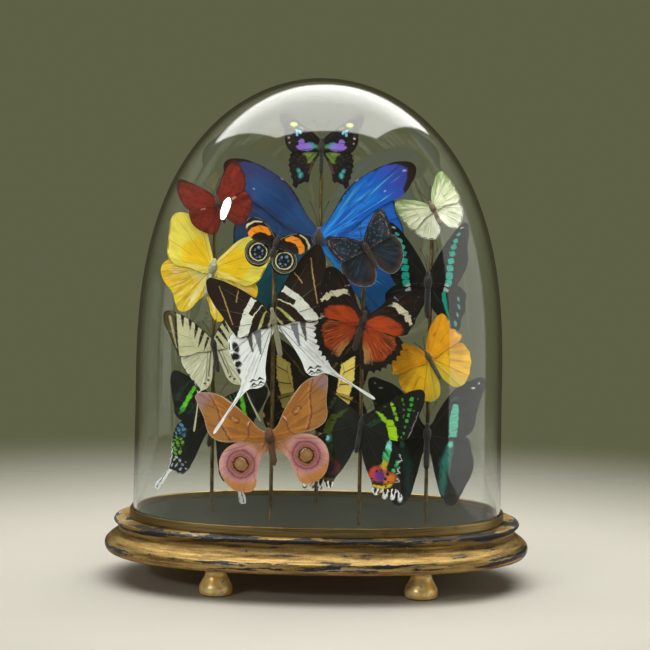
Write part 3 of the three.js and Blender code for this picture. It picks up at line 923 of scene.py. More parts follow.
def turquoise_upper(fore, hind):
    row = [(31.5, 47.5, 2.1, 1.1), (28.6, 41, 2.2, 1.8), (26.6, 35, 2.6, 1.9), (25, 28.4, 2.9, 2.2),
           (24, 21.2, 3, 2.3), (22.8, 14, 3.3, 2.6), (22.2, 6.6, 3.3, 3), (21.6, -0.8, 3.1, 2.8)]
    fore.spots([(x, y, w * 1.12, h * 1.2, 28 - i * 5) for i, (x, y, w, h) in enumerate(row)], "12ae96",
               1, 0.18, square=True)
    fore.spots([(35, 54, 2.2, 0.9, 30)], "a9aeb0", 0.9, 0.3)
    fore.spots([(19.6, -2.6, 2.6, 1.6, -20)], "b7ccc6", square=True)
    hind.spots([(19.4, -7.6, 2.6, 1.8, -30)], "a9bfb4", 0.9, square=True)
    hind.band([(17.4, -11, 2.2), (18, -17, 2.6), (21, -28, 1.5), (25.4, -44, 0.5)], "129a80")
    hind.spots([(33.6, -17, 1.2, 2.4, 25), (34.4, -25, 1.2, 2.5, 25), (33.4, -33, 1.2, 2.5, 25),
                (31, -41.5, 1.6, 3, 15)], "4fa8a4", 0.9, 0.4)


def giant_swordtail(fore, hind):
    fore.panel([(13.4, 26.6), (18, 31.4), (30, 19.4), (26, 15)], "dcdfd0", soft=0.3)
    fore.panel([(26, 15), (30, 19.4), (38, 6), (46, -9), (33, -9), (26, 2), (22, 10)], "dcdfd0", soft=0.3)
    fore.band([(8.6, 20, 0.5), (15, 15.4, 0.5), (22, 10, 0.9)], "d3d6b8", soft=0.3)
    fore.band([(6, 12, 0.5), (9, 9, 1.1), (14, 2, 1.5), (20, -7, 1.7)], "a3a858", soft=0.35)
    fore.band([(16, -1, 0.7), (21, -8, 1.3)], "d3d4b8", 0.8, 0.4)
    fore.band([(3, 3, 0.5), (6, -3, 1.1), (9, -8, 1.2)], "b4b67e", soft=0.4)
    fore.band([(49, 53, 0.4), (47.6, 38, 0.6), (46.6, 20, 0.6), (46, 8, 0.4)], "b89a5e")
    fore.band([(30, 42, 0.5), (33, 37, 0.7), (35.4, 31, 0.5)], "b89a5e")
    fore.rim(1.2, "15100d", 0.6, outer=True)
    hind.streaks("a4a8ac", 0.5, 34, 0.52, 0.66, 0.15, 0.85)
    hind.panel([(14.6, -7), (19.4, -30), (21, -30), (22.5, -7)], "6e7076", 0.95)
    hind.panel([(24.5, -7), (27, -27), (28.4, -27), (30.5, -7)], "45403c", 0.95)
    hind.band([(4, -8, 0.8), (10, -28, 0.7), (18, -46, 0.5)], "77766c", 0.9)
    hind.spots([(43.4, -18, 3.2, 6, -8), (45.6, -27, 4.2, 4, 20), (44.6, -35, 3.8, 3.2, -20),
                (47, -42, 3, 3.8), (47.5, -51, 2.2, 2.8)], "161210", 1, 0.3)
    hind.lunules(1, 0.7, "161210", 0.9, 12, 0.25, 0.6)
    for drop in (0, 4.2):
        for side in (26.5, 34):
            hind.band([(side - 3.6, -55.6 - drop, 0.3), (side, -53.6 - drop, 1.1),
                       (side + 3.6, -55.6 - drop, 0.3)], "15110f", soft=0.35)
    hind.band([(26, -60.6, 0.4), (36, -60.6, 0.5)], "15110f", 0.9)
    hind.band([(46, -63, 0.3), (58, -73.6, 0.4), (70, -85, 0.2)], "5a5c62", 0.8, 0.3)
    hind.veins("a9abaa", 0.5, 0.5)


def orange_lacewing(fore, hind):
    fore.spots([(21, 1, 20, 10.5)], "a63a10", 1, 0.12)
    fore.spots([(24, 3, 12, 6)], "bc4a12", 0.6, 0.7)
    fore.streaks("6e2410", 0.5, 18, 0.5, 0.7, 0, 0.75)
    fore.band([(3, 6, 3.4), (14, 15, 3)], "1d120f", 0.95, 1.2)
    fore.spots([(27, 25.4, 3.4, 2.6, -6), (32.6, 22.4, 3.6, 3.2, -30), (38, 20.6, 3.6, 3, -10),
                (42.6, 16, 3, 3.4, 30), (46, 12.4, 1.6, 2.6, 30)], "c9c1a2", 1, 0.2, square=True)
    fore.band([(20, 22.6, 0.3), (26, 26, 0.5)], "a39a84", 0.8)
    fore.band([(24, 33, 0.4), (28, 31, 0.5)], "8f8a80", 0.8)
    fore.specks("b5aea4", 0.7, 0.3, 0.16, 0.86, 1)
    hind.spots([(22, -15, 19.5, 19, 0)], "9a3a10", 1, 0.1)
    hind.spots([(24, -14, 12, 10)], "a84010", 0.7, 0.8)
    hind.streaks("64200c", 0.8, 30, 0.5, 0.64, 0.1, 1)
    hind.spots([(11, -34, 6, 12, 10)], "b07a44", 0.9, 0.5)
    hind.streaks("c88a4c", 0.45, 34, 0.54, 0.64, 0.45, 0.95)
    hind.streaks("2c140c", 0.7, 28, 0.55, 0.63, 0.5, 1)
    hind.rim(7.5, "15110f", 1, 0.02, 0.86, soft=1, outer=True)
    hind.band([(34, -1, 0.4), (43, -5, 0.8)], "b3a99a", 0.7)


def golden_orange(fore, hind):
    fore.streaks("f2b21c", 0.5, 14, 0.42, 0.7, 0, 0.8)
    fore.band([(3, 8, 2), (10, 21, 3), (22, 28, 2)], "cf8408", 0.8, 2)
    fore.spots([(38, 3, 4, 6)], "edb840", 0.8, 0.5)
    fore.veins("a86a0a", 0.35, 0.45)
    fore.spots([(16, 17, 2.4, 1.2, 20)], "9c5c0e", 0.6, 0.5)
    fore.lunules(0.8, 0.8, "6e4a10", 0.8, 12, 0.3, 0.8)
    hind.spots([(32, -8, 9, 6, -10)], "b87e0a", 0.7, 0.8)
    hind.shade((12, -12), (2, -18), "c0b03c", 0.85)
    hind.streaks("e0a81c", 0.6, 20, 0.5, 0.68, 0, 0.9)
    hind.streaks("c08a14", 0.4, 26, 0.56, 0.66, 0.2, 1.1)
    hind.veins("8e5e0c", 0.4, 0.5)


def kite(fore, hind):
    fore.panel([(36.5, -8), (48, 42), (30.5, 42), (34.6, 10)], "4a4128")
    fore.band([(32, 40, 1.1), (34.6, 20, 1), (36, -4, 0.6)], "241c12", soft=0.6)
    fore.band([(38.4, 35, 1.3), (37.6, 18, 1), (36.8, 3, 0.3)], "a8a47c", 0.9, 0.7)
    fore.rim(1.2, "241c12", 0.9, outer=True)
    for (x0, y0), (x1, y1), w in (((25.6, 36), (27.2, 22.6), 1.9), ((18.4, 31), (20.6, 19), 2),
                                  ((12.6, 24), (17.6, 9.5), 2), ((8, 15.5), (15.4, 0.4), 1.9),
                                  ((4.4, 8), (10.6, -4.4), 1.5)):
        fore.band([(x0, y0, w), ((x0 + x1) / 2, (y0 + y1) / 2, w * 0.75), (x1, y1, 0.2)], "1d1712",
                  soft=0.4)
    fore.veins("8d8c6c", 0.4, 0.4)
    fore.band([(1, 8, 0.7), (17, 28.6, 1), (31, 39, 1.2)], "2a241a", soft=0.4)
    hind.streaks("eeeedd", 0.6, 40, 0.5, 0.64)
    hind.streaks("8b8a70", 0.5, 30, 0.54, 0.66)
    hind.veins("7d7e6c", 0.5, 0.5)
    hind.band([(4, -6, 0.6), (10, -30, 0.6)], "38322a", 0.9)
    hind.band([(7, -6, 0.4), (13, -32, 0.4)], "5a554a", 0.8)
    hind.band([(35, -14, 0.6), (32, -23, 2), (26.5, -34, 2.2), (22, -42, 1.8)], "1f1a16", 1, 0.8)
    hind.lunules(1.3, 0.7, "dcdcc6", 0.9, 12, 0.3, 0.7)
    hind.spots([(15, -37, 1.6, 1.2, 30), (11, -34, 1.4, 1, 30)], "1f1a16", 0.9, 0.3)
    hind.spots([(13.6, -39.6, 0.9, 0.6)], "8a2a1c", 0.8, 0.4)


def green_striped(fore, hind):
    fore.band([(23.4, 19, 1.6), (27, 10, 2.2), (32, -5, 2)], "58c41c", soft=0.7)
    fore.band([(31, -4, 2), (34, -9, 1.2)], "1e6a34", 0.8, 1.2)
    fore.band([(12, 14, 0.3), (20, 4, 0.4), (25, -8, 0.3)], "17502f", 0.7, 0.4)
    for k in range(5):
        fore.band([(27 + k * 2.6, 27 - k * 2.4, 0.2), (31 + k * 2, 21 - k * 3, 0.2),
                   (33 + k * 1.4, 16 - k * 3.4, 0.1)], "2f6a48", 0.5, 0.3)
    for k in range(6):
        fore.band([(7 + k * 3, 12 + k * 2.4, 0.3), (9.5 + k * 3, 8 + k * 2, 0.3)], "4fa860", 0.9)
    hind.spots([(30, -21, 2.6, 1.8, 50), (27, -25, 2.2, 2.4), (32, -25.4, 2.2, 1.4, 50),
                (29.4, -29, 2, 1.6), (34, -29.4, 1.6, 1, 50), (26, -30, 1.4, 2)], "4a88ac", 0.95, 0.4)
    hind.spots([(33, -33.4, 2.2, 1.2, 55), (29, -34.4, 2.4, 1.6), (26, -38.6, 1.6, 2.4),
                (31.4, -38.6, 2.4, 1.6, 30), (35, -41, 1.2, 1.8), (28.6, -43, 2.4, 1.4, 30),
                (33, -45.4, 2.4, 1.4, 50), (27, -48, 1.8, 2), (31.6, -49.6, 2, 1.2, 40)],
               "6fae34", 0.95, 0.4)
    hind.spots([(34.6, -48.6, 1.4, 1), (34, -36.6, 1, 0.7), (31, -46, 0.9, 0.7), (29.6, -53.4, 1.6, 1, 40)],
               "b4dcc4", 0.9, 0.4)
    hind.spots([(31.6, -56, 1.2, 2, 20), (26, -56, 1.4, 1.8), (22.4, -60, 1.6, 1.4),
                (28.4, -61.6, 1, 2, 20), (33, -62, 0.9, 1.8, 20), (24, -65, 1.2, 1.6, 30),
                (18, -63.6, 1.4, 1), (20, -56.6, 0.9, 1)], "a4b2ba", 0.85, 0.4)
    hind.streaks("0d100d", 0.9, 34, 0.5, 0.58, 0.2, 0.9)
    hind.rim(0.9, "c9cdc6", 0.85, 0.5, 0.675, soft=0.4)
    hind.panel([(32, -68), (44, -94), (50, -90), (38, -64)], "dfe1de", 1, 0.6)
    hind.band([(36, -66, 0.6), (44, -87, 0.4)], "22241f", 0.9, 0.3)


def emperor(fore, hind):
    fore.streaks("c27e30", 0.6, 22, 0.4, 0.66)
    fore.shade((44, 22), (49, 21), "a0703c", 0.75)
    fore.shade((46, 46), (54, 55), "9c7a7c", 0.95)
    fore.streaks("6e3c20", 0.5, 60, 0.52, 0.68)
    fore.band([(1, 8.4, 0.6), (20, 28, 0.9), (44, 52, 1.3)], "c49a84", soft=0.6)
    fore.band([(53, 51, 0.4), (47.5, 36, 0.6), (46.5, 20, 0.7), (41, 5, 0.8), (37, -1, 0.6)], "5c302a",
              0.9, 0.8)
    fore.band([(50.5, 50, 0.3), (45.4, 36, 0.4), (44.4, 20, 0.4), (38.6, 5, 0.4)], "cb9878", 0.5, 0.8)
    fore.band([(16, 20, 0.6), (20, 10, 0.8), (21, 4, 0.6), (26, -1, 0.8)], "643430", 0.85, 0.8)
    fore.band([(28, -1, 0.5), (38, 0, 0.5), (50, 8, 0.4)], "9a5c58", 0.7, 0.8)
    fore.spots([(32, 23, 5, 3.4, 30)], "6e3c22", 0.85, 0.25, hollow=0.1)
    fore.spots([(31, 22.5, 1.6, 0.5, 40), (33.5, 24.5, 1.4, 0.4, 40)], "b9b0a8", 0.7)
    fore.panel([(16, 20), (19.6, 14.6), (20.4, 17.4)], "dbc0b8", 0.9, 0.4)
    fore.rim(0.5, "d0aa84", 0.75, soft=0.3)
    fore.veins("8c5230", 0.5, 0.5)
    hind.shade((30, -32), (34, -46), "bc7a34", 0.95)
    hind.shade((18, -22), (6, -14), "a8703c", 0.85)
    hind.streaks("9c5a42", 0.5, 40, 0.5, 0.68)
    eye = (33.6, -22.8)
    for width, code, strength in ((18.5, "b88080", 0.8), (15, "84384a", 0.9), (12.6, "b07a80", 0.85),
                                  (11, "8c4a48", 0.9), (9.8, "a8683c", 0.95), (8.4, "1c0f0a", 1),
                                  (6.4, "94683f", 1)):
        hind.spots([(*eye, width, width)], code, strength, 0.1)
    hind.spots([(35, -21, 3, 3)], "b08a5c", 0.6, 0.8)
    hind.band([(28.8, -19, 0.4), (31.5, -16.6, 0.6), (35, -16.2, 0.4)], "c9beb8", 0.9, 0.4)
    hind.band([(12, -6, 0.5), (22, -28, 0.5), (22, -42, 0.5)], "9a6238", 0.7, 0.8)
    hind.rim(0.5, "c8a078", 0.6, soft=0.3)
    hind.veins("a06a48", 0.35, 0.5)


def rainbow(fore, hind):
    fore.band([(14, 15, 1.2), (20, 10.5, 1.9), (25, 7, 2)], "8cc414", soft=0.7)
    fore.band([(28.5, 6, 3.8), (31, 0, 4.4), (34, -8, 4.6)], "a4d808", soft=0.6)
    fore.spots([(26.5, 25.5, 2, 1.5, -40), (29.5, 21, 2.4, 1.7, -50), (31.6, 16.4, 1.8, 2),
                (34, 12, 1.6, 1.8)], "86c41c", 1, 0.4, square=True)
    fore.spots([(45, 34, 2.1, 2.2), (46, 28.4, 1.8, 1.6), (45, 23, 1.6, 1.8), (44.6, 17.2, 1.5, 1.8),
                (44, 11, 1.4, 1.9), (43.8, 5, 1.1, 1.6), (43, -1.4, 1, 1.6), (42, -6.4, 0.8, 1.2)],
               "2fa83a", 1, 0.35, square=True)
    fore.spots([(36, 32, 1, 2, 25), (38, 27, 1, 1.8, 25), (39.5, 21.6, 0.9, 1.6, 20), (40.6, 15, 0.8, 1.6)],
               "46942a", 0.9, 0.4)
    fore.spots([(20, 22, 1.3, 0.8), (51, 35, 0.6, 1), (49, 22, 0.6, 0.9)], "5c9a2a", 0.8)
    for k in range(9):
        fore.band([(5 + k * 1.5, 1 + k * 1.2, 0.25), (9.5 + k * 1.4, -1 + k * 1.1, 0.25)],
                  "2c7a48", 0.8, 0.3)
    fore.band([(54, 22, 0.3), (52, 8, 0.4), (48, -7, 0.4)], "a79ea4", 0.8, 0.4)
    hind.band([(31, -13.5, 2.2), (31, -20, 3.2)], "8fe6e2", soft=0.9)
    hind.band([(30.6, -22.5, 3.2), (30.4, -35, 3.2)], "4ccf7c", soft=1)
    hind.band([(31, -34, 2.4), (29, -40, 4)], "d0a020", 0.95, 1.6)
    hind.spots([(24, -47, 8, 8, 20)], "c24434", 1, 0.3)
    hind.spots([(35, -49, 9, 6)], "de7818", 0.95, 0.4)
    hind.spots([(28, -48.6, 5.4, 5.6)], "5a2484", 0.95, 0.45)
    hind.spots([(42, -33, 1.7, 3, -20), (40, -40.6, 2, 1.8), (44.4, -37, 1.1, 1.4)], "4cc878", 1, 0.5)
    hind.band([(23, -59, 1), (32, -60, 1.7), (40, -56, 1.2)], "e0c41e", 1, 0.9)
    hind.spots([(35, -45, 1.8, 1.8), (31, -54, 1.7, 1.2), (24, -55, 1.6, 1.1), (24.4, -44, 1.2, 1.1),
                (37, -53, 1.3, 1), (33.4, -50, 1.2, 1.4), (20, -52, 1, 1.1), (28, -42.6, 0.9, 0.9),
                (27, -58, 1.3, 0.8), (35.5, -58, 1.1, 0.8)], "0e0b0c")
    hind.streaks("0c0b0a", 0.9, 26, 0.54, 0.6, 0.1, 0.66)
    hind.rim(0.6, "cfcdd0", 0.9, 0.6, 0.76, soft=0.4, outer=True)
    for hook in ([(43, -24, 0.4), (47, -30, 0.5), (42.6, -32, 0.4)],
                 [(43, -38, 0.4), (47, -42, 0.5), (43, -44, 0.4)],
                 [(45, -48, 0.4), (48, -50, 0.5), (45, -52, 0.4)]):
        hind.band(hook, "d5d3d8", 0.9, 0.4)
    # Painted shade: the left wings are darkened nearly to black.
    for paint in (fore, hind):
        paint.lay(paint.left_of(33.7), "0b0b09", 0.88)
    for x, y, lean in ((25.5, -62, 0), (35.4, -61, -0.6), (43.6, -60, -1), (50, -60, -2.4)):
        hind.band([(x - 2, y, 0.7), (x - 1.5 - lean * 0.6, y - 6, 0.9), (x - lean, y - 9, 1.1),
                   (x + 1.7 - lean * 0.6, y - 6, 0.9), (x + 2.4, y, 0.7)], "f0efec", 1, 0.4)
    hind.spots([(32.4, -17.6, 2, 2.4)], "8fe6e2", 0.9, 0.5)


def yellow_banded(fore, hind):
    fore.panel([(20, -14), (38, -14), (38.6, 10), (41.6, 22), (41, 33), (36, 31), (26, 24), (23, 8)],
               "ffe474")
    fore.veins("6e5418", 0.75, 0.5)
    fore.band([(12, 12, 0.8), (22, 26, 1)], "7a6a30", 0.6)
    hind.panel([(20, 4), (20, -8), (31, -23), (38, -8), (38, 4)], "ffe47c")
    hind.spots([(53, -21, 1.8, 3), (52, -29, 2, 2.2), (46, -38, 1.8, 1.6)], "f4c050")
    hind.veins("6e5418", 0.75, 0.5)
    # Painted shade: the left wings are darkened.
    for paint in (fore, hind):
        paint.lay(paint.left_of(-3), "17130a", 0.6)


def turquoise_lower(fore, hind):
    fore.panel([(22.5, -3), (30.6, -3), (32, 14), (32, 30), (26.5, 31), (22.6, 16)], "5cc8a8", 1, 0.7)
    fore.band([(25, 34.5, 1.2), (29, 37, 1.8), (33, 36.5, 1)], "1f4a44", 0.9, 1)
    for k in range(9):
        rise = -1 + k * 3.4
        fore.band([(22, rise, 0.15), (26, rise + 1.2, 0.25), (31, rise + 0.6, 0.15)], "2c8a76", 0.7, 0.3)
    fore.spots([(47, 46, 2.2, 1), (53, 51, 0.7, 0.7)], "c9e2dc")
    hind.panel([(23.6, -6), (13.6, -28), (13.8, -56), (18.4, -64), (24, -40), (28, -18), (27.6, -8)],
               "215f57", 0.95, 1.8)
    hind.panel([(23.6, -8), (16.6, -28), (18, -50), (25.6, -22)], "3a8a7a", 0.6, 2)
    hind.streaks("0f2a26", 0.6, 40, 0.5, 0.66)
    hind.spots([(24.4, -10.4, 2.7, 3, 30)], "62d4b2", soft=0.4)
    # Painted shade: the left wings are darkened towards black.
    for paint in (fore, hind):
        paint.lay(paint.left_of(86), "0b0a09", 0.75)


def wing_materials(insect):
    """The materials of the forewings and of the hindwings."""
    pair = [
        WingPaint(f"{insect['name']}_{which}", code, **insect.get("scales", {}))
        for which, code in zip(("fore", "hind"), insect["ground"])
    ]
    insect["paint"](*pair)
    return [paint.done(insect.get("gloss", 0.35)) for paint in pair]


def fur(code):
    """Short fur, paler at the tips of its tufts."""
    made = Finish("fur_" + code, roughness=0.85, sheen_weight=0.25)
    tufts = made.noise(made.place((1, 1, 0.45)), 1.1, detail=5, roughness=0.7)
    base = rgb(code)
    dark = tuple(part * 0.45 for part in base)
    pale = tuple(min(part * 1.5 + 0.01, 1) for part in base)
    colour = made.mix(dark, base, made.step(tufts, 0.3, 0.5))
    made.feed("Base Color", made.mix(colour, pale, made.step(tufts, 0.55, 0.75)))
    made.bump(tufts, 0.35, 0.9)
    return made.material


def horn(name, code, rough):
    """Smooth dark chitin, faintly mottled."""
    made = Finish(name, roughness=rough)
    mottle = made.noise(made.place(), 0.9, detail=3)
    base = rgb(code)
    made.feed("Base Color", made.mix(tuple(p * 0.6 for p in base), tuple(p * 1.4 for p in base), mottle))
    return made.material


# ---------------------------------------------------------------- insects

OUTLINE_STEPS = 5
OUTLINE_DOUBLED = 0.01
WING_THICKNESS = 0.26
# How far the wings' planes stand before the body's middle, and how deep their pleats are.
FORE_FRONT = 0.25
HIND_FRONT = -0.45
RIDGE = 0.22
# A rib's radii from the root of the wing to its edge.
RIB_RADII = (0.24, 0.2, 0.17, 0.14, 0.1)
# How deep a body is against its width.
BODY_DEPTH = 0.92
BODY_SIDES = 14
PIN_RADIUS = 0.42
HAIRS = 160
HAIR_RADIUS = 0.09


class Fan:
    """The rays of a wing from its root: first and last angle, and how far each one reaches."""

    STEPS = 120
    ROOT = 4

    def __init__(self, outline):
        far = [math.atan2(y, x) for x, y in outline if math.hypot(x, y) > self.ROOT]
        self.first, self.last = max(far), min(far)
        self.outline = outline
        angles = [self.angle(i / self.STEPS) for i in range(self.STEPS + 1)]
        self.reaches = [self.crossing(math.cos(a), math.sin(a)) for a in angles]

    def angle(self, share):
        return self.first + (self.last - self.first) * share

    def crossing(self, c, s):
        """The distance along a ray to where it first leaves the wing, or a short one if it misses."""
        found = []
        for (x0, y0), (x1, y1) in sides_of(self.outline):
            side0, side1 = c * y0 - s * x0, c * y1 - s * x1
            if side0 * side1 <= 0 and side0 != side1:
                part = side0 / (side0 - side1)
                along = c * (x0 + (x1 - x0) * part) + s * (y0 + (y1 - y0) * part)
                if along > self.ROOT:
                    found.append(along)
        return min(found, default=self.ROOT * 2)

    def share(self, x, y):
        """How far round the fan a point is, from 0 at the leading edge to 1 at the trailing one."""
        return min(max((self.first - math.atan2(y, x)) / (self.first - self.last), 0), 1)

    def reach(self, share):
        spot = share * self.STEPS
        low = min(int(spot), self.STEPS - 1)
        return self.reaches[low] + (self.reaches[low + 1] - self.reaches[low]) * (spot - low)


def scallop(mesh, fan, count, depth):
    """Bites rounded notches out of a wing's margin between its veins."""
    for vertex in mesh.vertices:
        x, y = vertex.co.x, vertex.co.y
        share, away = fan.share(x, y), math.hypot(x, y)
        ease = min(max(share - 0.12, 0), max(0.9 - share, 0), 0.05) / 0.05
        near = min(max(away / fan.reach(share) - 0.75, 0) / 0.25, 1)
        bite = depth * ease * abs(math.sin(math.pi * count * share)) ** 0.8 * near ** 2
        if bite:
            vertex.co *= 1 - bite / away


def flat_wing(name, points, notches):
    """A wing in steps of its outline, cut from a flat curve, with maps of where each point is.

    The map wing holds x and y, fan the share round the root and the share out along the
    ray, and rim the distance to the edge.
    """
    curve = bpy.data.curves.new(name, "CURVE")
    curve.dimensions = "2D"
    curve.fill_mode = "BOTH"
    curve.resolution_u = OUTLINE_STEPS
    spline = curve.splines.new("BEZIER")
    spline.use_cyclic_u = True
    spline.bezier_points.add(len(points) - 1)
    for knot, point in zip(spline.bezier_points, points):
        knot.co = (*point, 0)
        knot.handle_left_type = knot.handle_right_type = "AUTO"
    piece = meshed(name, curve)
    edit(piece)
    bpy.ops.mesh.remove_doubles(threshold=OUTLINE_DOUBLED)
    for _ in range(2):
        bpy.ops.mesh.beautify_fill(angle_limit=math.pi)
        bpy.ops.mesh.subdivide()
        bpy.ops.mesh.quads_convert_to_tris()
    bpy.ops.mesh.beautify_fill(angle_limit=math.pi)
    close_edit(recalculate=False)
    mesh = piece.data
    if notches:
        scallop(mesh, Fan(ring_of(mesh)), *notches)
    edge = {i for e in boundary(mesh) for i in e}
    tree = kdtree.KDTree(len(edge))
    for i in edge:
        tree.insert(mesh.vertices[i].co, i)
    tree.balance()
    fan = Fan(ring_of(mesh))
    maps = {"wing": [], "fan": [], "rim": []}
    for vertex in mesh.vertices:
        x, y = vertex.co.x, vertex.co.y
        share = fan.share(x, y)
        out = math.hypot(x, y) / fan.reach(share)
        maps["wing"].append((x, y))
        maps["fan"].append((share, out))
        maps["rim"].append((tree.find(vertex.co)[2], 0))
    for key, values in maps.items():
        layer = mesh.uv_layers.new(name=key)
        layer.data.foreach_set("uv", [n for loop in mesh.loops for n in values[loop.vertex_index]])
    return piece, fan


def boundary(mesh):
    """The edges of a mesh that only one face has."""
    faces = {}
    for polygon in mesh.polygons:
        for key in polygon.edge_keys:
            faces[key] = faces.get(key, 0) + 1
    return [key for key, count in faces.items() if count == 1]


def ring_of(mesh):
    """The outline of a flat mesh as a list of (x, y), in order."""
    following = {}
    for a, b in boundary(mesh):
        following.setdefault(a, []).append(b)
        following.setdefault(b, []).append(a)
    first = next(iter(following))
    ring, before, here = [first], None, first
    while True:
        ahead = next((i for i in following[here] if i != before), first)
        before, here = here, ahead
        if here == first:
            return [tuple(mesh.vertices[i].co[:2]) for i in ring]
        ring.append(here)


def bow(x, y, span):
    """How far a wing stands forward of flat at a place in the body's frame."""
    return 0.9 * math.sin(math.pi * min(abs(x) / span, 1)) + 0.25 * math.sin(0.11 * y + 0.07 * x)


def wing_shapes(insect, which, material):
    """The right and left wings of a pair, in the body's frame in millimetres, with their veins."""
    size = insect["size"]
    lifts, droops = insect.get("lift", (0, 0)), insect.get("droop", (0, 0))
    hind = which == "hind"
    flat, fan = flat_wing(which, insect[which], insect.get("notches", {}).get(which))
    reaches = (1, 1) if hind else insect.get("reach", (1, 1))
    flat.data.materials.append(material)
    span = max(x for x, y in insect["fore"]) * size
    front = HIND_FRONT if hind else FORE_FRONT
    shapes, veins = [], []
    for side, lift, droop, grown in zip((-1, 1), lifts, droops, reaches):
        piece = flat if side > 0 else add(which, flat.data.copy())
        droop = math.radians(-droop * (0.5 if hind else 1))
        turned = Matrix.Rotation(droop, 4, "Z") @ Matrix.Scale(size * grown, 4)
        hinged = Matrix.Diagonal((side, 1, 1, 1)) @ Matrix.Rotation(math.radians(lift), 4, "Y")

        def placed(x, y):
            spot = turned @ Vector((x, y, 0))
            share = fan.share(x, y)
            out = min(math.hypot(x, y) / fan.reach(share), 1)
            ridge = RIDGE * math.cos(2 * math.pi * VEINS * share) * min(1, out * 1.5)
            spot.z = front + bow(spot.x, spot.y, span) + ridge
            return hinged @ spot

        for k in range(1, VEINS):
            share = (k + 0.02) / VEINS
            reach, angle = fan.reach(share), fan.angle(share)
            near = CELL[2] if CELL[0] < share - 0.01 and share < CELL[1] else 0.06
            knots = len(RIB_RADII)
            run = [reach * (near + (0.97 - near) * k / (knots - 1)) for k in range(knots)]
            veins.append([
                (placed(part * math.cos(angle), part * math.sin(angle)), radius)
                for part, radius in zip(run, RIB_RADII)
            ])
        for vertex in piece.data.vertices:
            vertex.co = placed(vertex.co.x, vertex.co.y)
        shapes.append(piece)
    return shapes, veins


def body_sections(head, tail, radius):
    """Rings up the insect's middle from the tail to the crown, pinched between segments."""
    rings = [(radius * 0.12, tail), (radius * 0.4, tail + radius * 0.35)]
    waist = -radius * 1.5
    first = tail + radius * 0.8
    segments = 8
    for k in range(segments):
        low = first + (waist - first) * k / segments
        step = (waist - first) / segments
        swell = radius * (0.56 + 0.24 * math.sin(math.pi * (0.25 + 0.6 * k / segments)))
        rings += [(swell * 0.93, low), (swell, low + step * 0.45), (swell * 0.99, low + step * 0.8)]
    rings += [
        (radius * 0.52, waist), (radius * 0.8, -radius * 1.05), (radius * 1.02, -radius * 0.2),
        (radius * 1.05, radius * 0.6), (radius * 0.85, radius * 1.4),
        (radius * 0.5, max(head - radius * 1.15, radius * 1.9)),
        (radius * 0.58, head - radius * 0.7), (radius * 0.5, head - radius * 0.25),
        (radius * 0.16, head),
    ]
    return [(r, r * BODY_DEPTH, z) for r, z in rings]


def eyes(head, radius):
    """Two beads at the sides of the head."""
    pieces = []
    for side in (-1, 1):
        place = (side * radius * 0.46, head - radius * 0.55, radius * 0.24)
        pieces.append(start(
            bpy.ops.mesh.primitive_uv_sphere_add, segments=12, ring_count=8,
            radius=radius * 0.32, location=place,
        ))
    return pieces


def feeler_path(insect, side):
    """A feeler's knots from the brow out and up to its clubbed tip."""
    head, size = insect["body"][0], insect["size"]
    across, along = insect["feelers"]
    root = Vector((side * 0.5, (head - 1.5) * size, 0))
    bend = Vector((side * across * 0.35 * size, (head + along * 0.6) * size, 0.6))
    tip = Vector((side * across * size, (head + along) * size, 1))
    knots = [(0, 0.24), (0.3, 0.19), (0.6, 0.17), (0.84, 0.19), (0.93, 0.38), (0.985, 0.4), (1, 0.2)]
    return [
        ((1 - t) ** 2 * root + 2 * t * (1 - t) * bend + t ** 2 * tip, radius)
        for t, radius in knots
    ]


def leg_paths(radius):
    """Six legs folded under the thorax, each with a knee."""
    paths = []
    for side in (-1, 1):
        for row in (-0.7, 0, 0.8):
            hip = Vector((side * radius * 0.3, row * radius, -radius * 0.7))
            knee = hip + Vector((side * radius * 0.9, row * radius * 0.7, -radius * 0.6))
            toe = knee + Vector((side * radius * 0.1, row * radius * 1.2 - 1, -radius * 0.35))
            paths.append([(hip, 0.22), (knee, 0.2), (toe, 0.1)])
    return paths


def hairs(name, radius, count, length, reach):
    """Fine spikes all over the thorax; reach is the lowest and highest place of their roots."""
    points, faces = [], []
    for _ in range(count):
        round_it = random.uniform(0, 2 * math.pi)
        along = random.uniform(*reach)
        bulge = math.sqrt(max(1 - (along / (radius * 2)) ** 2, 0.1)) * 0.98
        out = Vector((math.cos(round_it), 0, math.sin(round_it) * BODY_DEPTH))
        root = out * radius * bulge + Vector((0, along, 0))
        lean = Vector([random.uniform(-0.5, 0.5) for _ in range(3)]) + Vector((0, -0.6, 0))
        tip = root + (out + lean).normalized() * length * random.uniform(0.6, 1.2)
        across = (tip - root).orthogonal().normalized() * HAIR_RADIUS
        other = across.cross(tip - root).normalized() * HAIR_RADIUS
        first = len(points)
        points += [root + across, root - across * 0.5 + other, root - across * 0.5 - other, tip]
        faces += [(first + 1, first, first + 2), *(
            (first + a, first + b, first + 3) for a, b in ((0, 1), (1, 2), (2, 0))
        )]
    mesh = bpy.data.meshes.new(name)
    mesh.from_pydata(points, [], faces)
    piece = add(name, mesh)
    edit(piece)
    bpy.ops.mesh.normals_make_consistent(inside=False)
    close_edit(recalculate=False)
    return piece


def pose_of(insect):
    """Stands the body's frame up at the insect's place, leaned, tipped and turned."""
    return (
        Matrix.Translation(insect["at"])
        @ Matrix.Rotation(math.radians(-insect.get("yaw", 0)), 4, "Z")
        @ Matrix.Rotation(math.radians(90 - insect.get("lean", 0)), 4, "X")
        @ Matrix.Rotation(math.radians(insect.get("turn", 0)), 4, "Z")
    )


def pin_path(insect):
    """A pin from the body level back into the insect's rod."""
    at = Vector(insect["at"])
    run = place_of(insect["rod"]) @ Vector((0, 0, at.z)) - at
    run = run * (1 - ROD_RADIUS * 0.4 / run.length)
    return [(at + run * part, PIN_RADIUS) for part in (0, 0.5, 1)]


